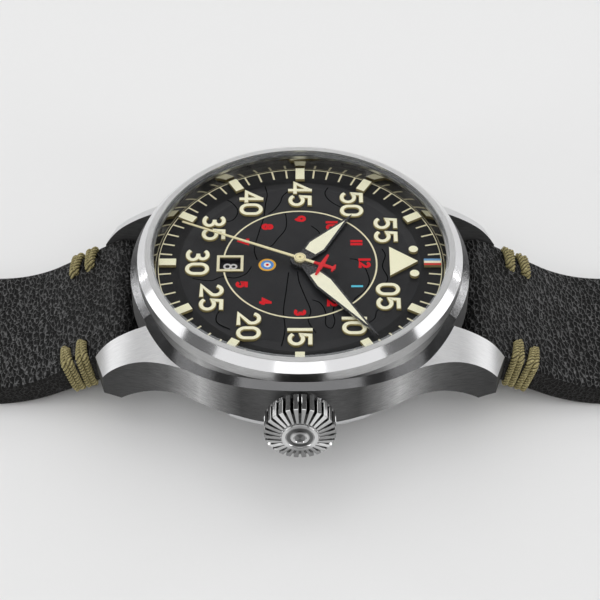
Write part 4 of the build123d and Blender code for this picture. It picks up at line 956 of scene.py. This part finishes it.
# Crown: flutes round its axis, which runs along X
CROWN_Z = (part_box("crown")[0].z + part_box("crown")[1].z) / 2 / MM
CROWN_START, CROWN_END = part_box("crown")[0].x / MM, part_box("crown")[1].x / MM
CROWN_CONE, CROWN_NOSE = CROWN_END - 0.80, CROWN_END - 0.25
CROWN_RADIUS, NOSE_RADIUS, CROWN_BORE = 4.25, 2.35, 1.75
CROWN_FLUTES = 28


def crown_ring(x, radius, depth=0.0, land=0.58, soft=0.05):
    """An outline across the crown; depth cuts the flutes into it."""
    pitch, points = 2 * math.pi / CROWN_FLUTES, []
    half = pitch * land / 2
    gap = pitch - 2 * half
    for flute in range(CROWN_FLUTES):
        middle = pitch * (flute + 0.5)
        cuts = ((-half, soft), (-half + pitch * 0.04, 0), (half - pitch * 0.04, 0), (half, soft),
                (half + gap * 0.22, 0.78), (half + gap * 0.5, 1.0), (half + gap * 0.78, 0.78))
        for turn, cut in cuts:
            reach = radius - depth * cut
            points.append((x, reach * math.sin(middle + turn), CROWN_Z + reach * math.cos(middle + turn)))
    return points


def crown_piece(material):
    """The fluted crown, hollow behind for its tube, with a ringed boss on its nose."""
    back = ((1.55, 0.6), (1.55, CROWN_BORE), (0.08, CROWN_BORE), (0, 1.85), (0, 3.2), (0.08, 3.3),
            (1.1, 3.3), (1.15, 4.12, 0.62), (1.28, CROWN_RADIUS, 0.7))
    boss = ((-0.30, 2.22), (-0.16, 2.22), (-0.05, 2.16), (-0.01, 2.04), (0.0, 1.93), (-0.02, 1.82),
            (-0.07, 1.72), (-0.17, 1.64), (-0.20, 1.55), (-0.20, 1.26), (-0.17, 1.17), (-0.08, 1.08),
            (-0.03, 0.98), (-0.02, 0.88), (-0.04, 0.80), (-0.11, 0.74), (-0.12, 0.64), (-0.08, 0.45),
            (-0.06, 0.25), (-0.055, 0.05))
    rings = [crown_ring(CROWN_START + place, *sizes) for place, *sizes in back]
    rings += [crown_ring(CROWN_CONE - 0.06, CROWN_RADIUS, 0.7), crown_ring(CROWN_CONE + 0.02, 4.19, 0.68),
              crown_ring(CROWN_NOSE, NOSE_RADIUS + 0.03, 0.34, 0.5)]
    rings += [crown_ring(CROWN_END + place, radius) for place, radius in boss]
    shape = Shape()
    shape.loft(rings)
    piece = shape.piece("crown_fluted", material, "crown", "steel_polished", 32)
    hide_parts("crown")


def strap_skin(node, sections, cutters, material):
    """The skin of a strap half, with its bores and holes cut."""
    shape = Shape()
    shape.loft(sections)
    piece = shape.piece(node + "_leather", material, node, "leather_black")
    cut_with(piece, cutters)
    smooth(piece, 38)
    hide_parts(node)


def half_width_at(y):
    """The long half's width: a slow taper, then a pointed arch at its tail."""
    if y <= TAIL_START:
        share = (y - FLAT_Y) / (TAIL_START - FLAT_Y)
        return STRAP_HALF_WIDTH + (TAIL_HALF_WIDTH - STRAP_HALF_WIDTH) * share
    share = (y - TAIL_START) / (LONG_END - TAIL_START)
    straight = TAIL_HALF_WIDTH + (TAIL_TIP - TAIL_HALF_WIDTH) * share
    return max(0.4, straight * math.sqrt(1 - max(0.0, (share - 0.45) / 0.55) ** 2.4))


def long_strap(material):
    """The half with the tongue's holes and the pointed tail."""
    sections, y, tip = strap_start(), FLAT_Y, LONG_END - 0.02
    while y < tip:
        y = min(y + (1.6 if y < TAIL_START else 0.35), tip)
        half = BEND_HALF + (1.15 - BEND_HALF) * (y - FLAT_Y) / (LONG_END - FLAT_Y)
        shrink = min(1.0, 0.45 + (LONG_END - y) / 0.9)
        sections.append(strap_section((y, FLOOR_Z + half), 0.0, half * shrink, half_width_at(y)))
    holes = Shape()
    for index in range(HOLES):
        place = -(LONG_END - LAST_HOLE - index * HOLE_PITCH)
        rod(holes, (0, place, FLOOR_Z - 2), (0, place, FLOOR_Z + 5), TONGUE_HOLE)
    strap_skin("strap_long", [[(x, -py, pz) for x, py, pz in reversed(section)] for section in sections],
               [bar_cutter(-BAR_Y, BAR_Z, BAR_BORE), lace_hole_cutter(-1), holes.made("cutter")], material)


def short_strap(material):
    """The half that is rolled round the buckle's bar and slotted for the tongue."""
    sections, y = strap_start(), FLAT_Y
    while y < SHORT_END:
        y = min(y + 1.4, SHORT_END)
        share = min(1.0, (y - FLAT_Y) / (SHORT_LIFT_END - FLAT_Y))
        low = FLOOR_Z + SHORT_LIFT * share
        top = FLOOR_Z + 2 * BEND_HALF + (SHORT_LIFT + SHORT_THICK - 2 * BEND_HALF) * share
        width = STRAP_HALF_WIDTH + (TAIL_HALF_WIDTH - STRAP_HALF_WIDTH) * share
        swell = max(0.0, (y - SHORT_END + SWELL_RUN) / SWELL_RUN) ** 2
        half = (top - low) / 2 * (1 - swell) + SHORT_ROLL * swell
        sections.append(strap_section((y, (low + top) / 2), 0.0, half, width))
    middle = FLOOR_Z + SHORT_LIFT + SHORT_THICK / 2
    for step in range(1, 13):
        angle = math.radians(step * 88 / 12)
        sections.append(strap_section((SHORT_END + SHORT_ROLL * math.sin(angle), middle), 0.0,
                                      SHORT_ROLL * math.cos(angle), TAIL_HALF_WIDTH))
    slot = Shape()
    outline = [(u * SLOT_HALF_WIDTH, v) for u, v in ((-1, -5), (1, -5), (1, 5), (-1, 5))]
    slot.loft([[(x, y, FLOOR_Z + v) for x, v in outline] for y in (SHORT_END + 4, SHORT_END - SLOT_DEPTH)])
    strap_skin("strap_short", sections, [bar_cutter(BAR_Y, BAR_Z, BAR_BORE), lace_hole_cutter(1),
                                         bar_cutter(SHORT_END, middle, BUCKLE_BORE), slot.made("cutter")],
               material)


def lace_route(side, side_y, runs):
    """One turn: out of its hole, over the top to the edge, round it and back below."""
    corners = [Vector(corner) for corner in lace_corners(*runs)]
    for corner in (corners[0], corners[3]):
        corner.x += GATHER[runs[0]][0]
        corner.y += GATHER[runs[0]][1]
    middle = (corners[0] + corners[3]) / 2
    points = [middle, *corners, middle]
    route = [middle]
    for i in range(1, 5):
        for other in (points[i - 1], points[i + 1]):
            route.append(points[i] + (other - points[i]).normalized() * CORD_CORNER)
    route.append(middle)
    placed = []
    for x, run, lift in route:
        y, z = slope_at(run, lift)
        placed.append((side * x * MM, side_y * y * MM, z * MM))
    return placed


def laid_cord(name, routes, material):
    """A three-ply twisted cord along each route."""
    curve = bpy.data.curves.new("routes", "CURVE")
    curve.dimensions = "3D"
    for route in routes:
        spline = curve.splines.new("NURBS")
        spline.points.add(len(route) - 1)
        for point, place in zip(spline.points, route):
            point.co = (*place, 1.0)
        spline.order_u = 3
        spline.use_endpoint_u = True
        spline.resolution_u = 8
    growth = Growth("laid cord", Radius=CORD_RADIUS * MM, Ply_Share=0.34, Plies=3, Sides=24,
                    Pitch=1.35 * MM, Step=0.10 * MM, Finish=material)
    line = growth.node("GeometryNodeResampleCurve", {"mode": "LENGTH"}, growth.given("Geometry"),
                       Length=growth.given("Step"))
    run = growth.node("GeometryNodeSplineParameter", {}, out=1)
    turn = run / growth.given("Pitch") * (2 * math.pi)
    line = growth.node("GeometryNodeSetCurveTilt", {}, line, Tilt=turn)
    outline = growth.node("GeometryNodeCurvePrimitiveCircle", {}, Resolution=growth.given("Sides"),
                          Radius=1.0)
    share = growth.node("GeometryNodeSplineParameter", {})
    wave = (share * growth.given("Plies") * math.pi).math("COSINE").size()
    size = (1 - growth.given("Ply_Share") + wave * growth.given("Ply_Share")) * growth.given("Radius")
    here = growth.node("GeometryNodeInputPosition", {})
    there = growth.node("ShaderNodeVectorMath", {"operation": "SCALE"}, here, Scale=size)
    outline = growth.node("GeometryNodeStoreNamedAttribute", {}, outline, Name="ply", Value=wave)
    outline = growth.node("GeometryNodeSetPosition", {}, outline, Position=there)
    tube = growth.node("GeometryNodeCurveToMesh", {}, line, Profile_Curve=outline, Fill_Caps=True)
    return growth.grow(tube, curve, name)


def lacing(material):
    for name, side_y, body in (("long", -1, "strap_long"), ("short", 1, "strap_short")):
        routes = [lace_route(side, side_y, runs) for side in (1, -1) for runs in LACES]
        piece = settle(laid_cord("lacing_cord_" + name, routes, material), body, 60)
        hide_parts("lacing_" + name)


def keeper_loop(name, node, body, closed, material):
    """A band of leather round the strap: a loop, or an arch sewn to the strap's sides."""
    wall, bend, corner = 0.88, 0.9, 0.3
    low, high = [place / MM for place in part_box(node)]
    half, middle_y = (high.y - low.y) / 2, (high.y + low.y) / 2
    x, top, bottom = high.x - wall / 2, high.z - wall / 2, low.z + wall / 2
    bends = [(x, top, -bend, 0), (-x, top, -bend, 90), (-x, bottom, bend, 180), (x, bottom, bend, 270)]
    path = []
    for px, pz, shift, start in bends if closed else bends[:2]:
        path += arc((px - math.copysign(bend, px), pz + shift), (bend, bend), start, start + 90, 6)
    if not closed:
        path = [(x, low.z + 0.02), *path, (-x, low.z + 0.02)]
    outline = []
    for u, v, start in ((1, 1, 0), (-1, 1, 90), (-1, -1, 180), (1, -1, 270)):
        middle = (u * (half - corner), v * (wall / 2 - corner))
        outline += arc(middle, (corner, corner), start, start + 90, 3)
    rings = []
    for i, (px, pz) in enumerate(path):
        before = path[i - 1] if i or closed else path[0]
        after = path[(i + 1) % len(path)] if i + 1 < len(path) or closed else path[-1]
        run = Vector((after[0] - before[0], after[1] - before[1])).normalized()
        rings.append([(px + run.y * v, middle_y + u, pz - run.x * v) for u, v in outline])
    shape = Shape()
    shape.loft(rings, closed)
    piece = shape.piece(name, material, body, "leather_black", 50)
    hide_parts(node)


set_camera()
set_stage()

dress(case_steel(), "case_middle")
dress(back_steel(), "case_back")
dress(bezel_steel(), "bezel")
dress(polished_steel(), "crown_tube", "spring_bars", "buckle_frame", "buckle_bar", "buckle_tongue")
dress(clear_crystal(), "crystal")
dress(moulded("gasket", (0.012, 0.012, 0.012), 0.55), "crystal_gasket", "crown_seal", "back_gasket")
dress(rehaut_black(), "rehaut_ring")
dress(dial_black(), "dial")
dress(marker_finish(), "dial_markers")
dress(lume_finish("frame_cream", (0.80, 0.75, 0.52)), "date_window_frame")
for hand in ("hour_hand", "minute_hand"):
    dress(hand_metal(), hand)
    dress(lume_finish(hand + "_lume_cream", (0.98, 0.96, 0.74)), hand + "_lume")
dress(seconds_paint(math.radians(204.0)), "seconds_hand")
dress(moulded("holder_plastic", (0.75, 0.75, 0.73), 0.5), "movement_holder")
dress(turned_metal("plate_nickel", (0.62, 0.60, 0.56), 0.3),
      "main_plate", "train_bridge", "battery_strap", "setting_lever")
dress(turned_metal("brass", (0.72, 0.50, 0.20)), "hour_wheel", "minute_wheel", "third_wheel",
      "centre_wheel", "fifth_wheel", "seconds_wheel", "cannon_pinion")
dress(turned_metal("wheel_steel", (0.60, 0.60, 0.62), 0.22),
      "movement_screws", "stem", "clutch_wheel", "stator")
dress(turned_metal("magnet", (0.20, 0.20, 0.21), 0.4), "step_rotor")
dress(turned_metal("copper_coil", (0.75, 0.32, 0.16), 0.35, 30.0), "coil_block")
dress(polished_steel("battery_steel", 0.62, 0.2), "battery")
dress(moulded("board_green", (0.02, 0.16, 0.07), 0.35, 0.3), "circuit_board")
dress(moulded("chip_black", (0.02, 0.02, 0.02), 0.4), "circuit_chip")
dress(polished_steel("quartz_steel", 0.66, 0.22), "quartz_can")
dress(moulded("date_ring_black", (0.012, 0.012, 0.013), 0.4), "date_ring")

print_cream, print_red = ink("print_cream", (0.90, 0.84, 0.58)), ink("print_red", (0.74, 0.006, 0.014))
print_cyan, print_white = ink("print_cyan", (0.12, 0.62, 0.80)), ink("print_white", (0.90, 0.90, 0.88))
minute_figures(lume_finish("figure_cream"))
hour_figures(print_red, print_cyan)
printed_rings(print_cream)
minute_ticks(print_cream)
dial_grooves(groove_black())
dial_roundel([("roundel_rim", 1.08, ink("print_amber", (0.80, 0.42, 0.05))),
              ("roundel_ring", 0.80, ink("print_blue", (0.10, 0.30, 0.72))),
              ("roundel_middle", 0.44, print_white), ("roundel_dot", 0.19, print_red)])
date_figures(print_white)

hide, band = leather("leather_black", True), leather("leather_band", False)
crown_piece(crown_steel())
long_strap(hide)
short_strap(hide)
lacing(cord_finish())
keeper_loop("keeper_fixed_leather", "fixed_keeper", "strap_short", False, band)
keeper_loop("keeper_sliding_leather", "sliding_keeper", "sliding_keeper", True, band)
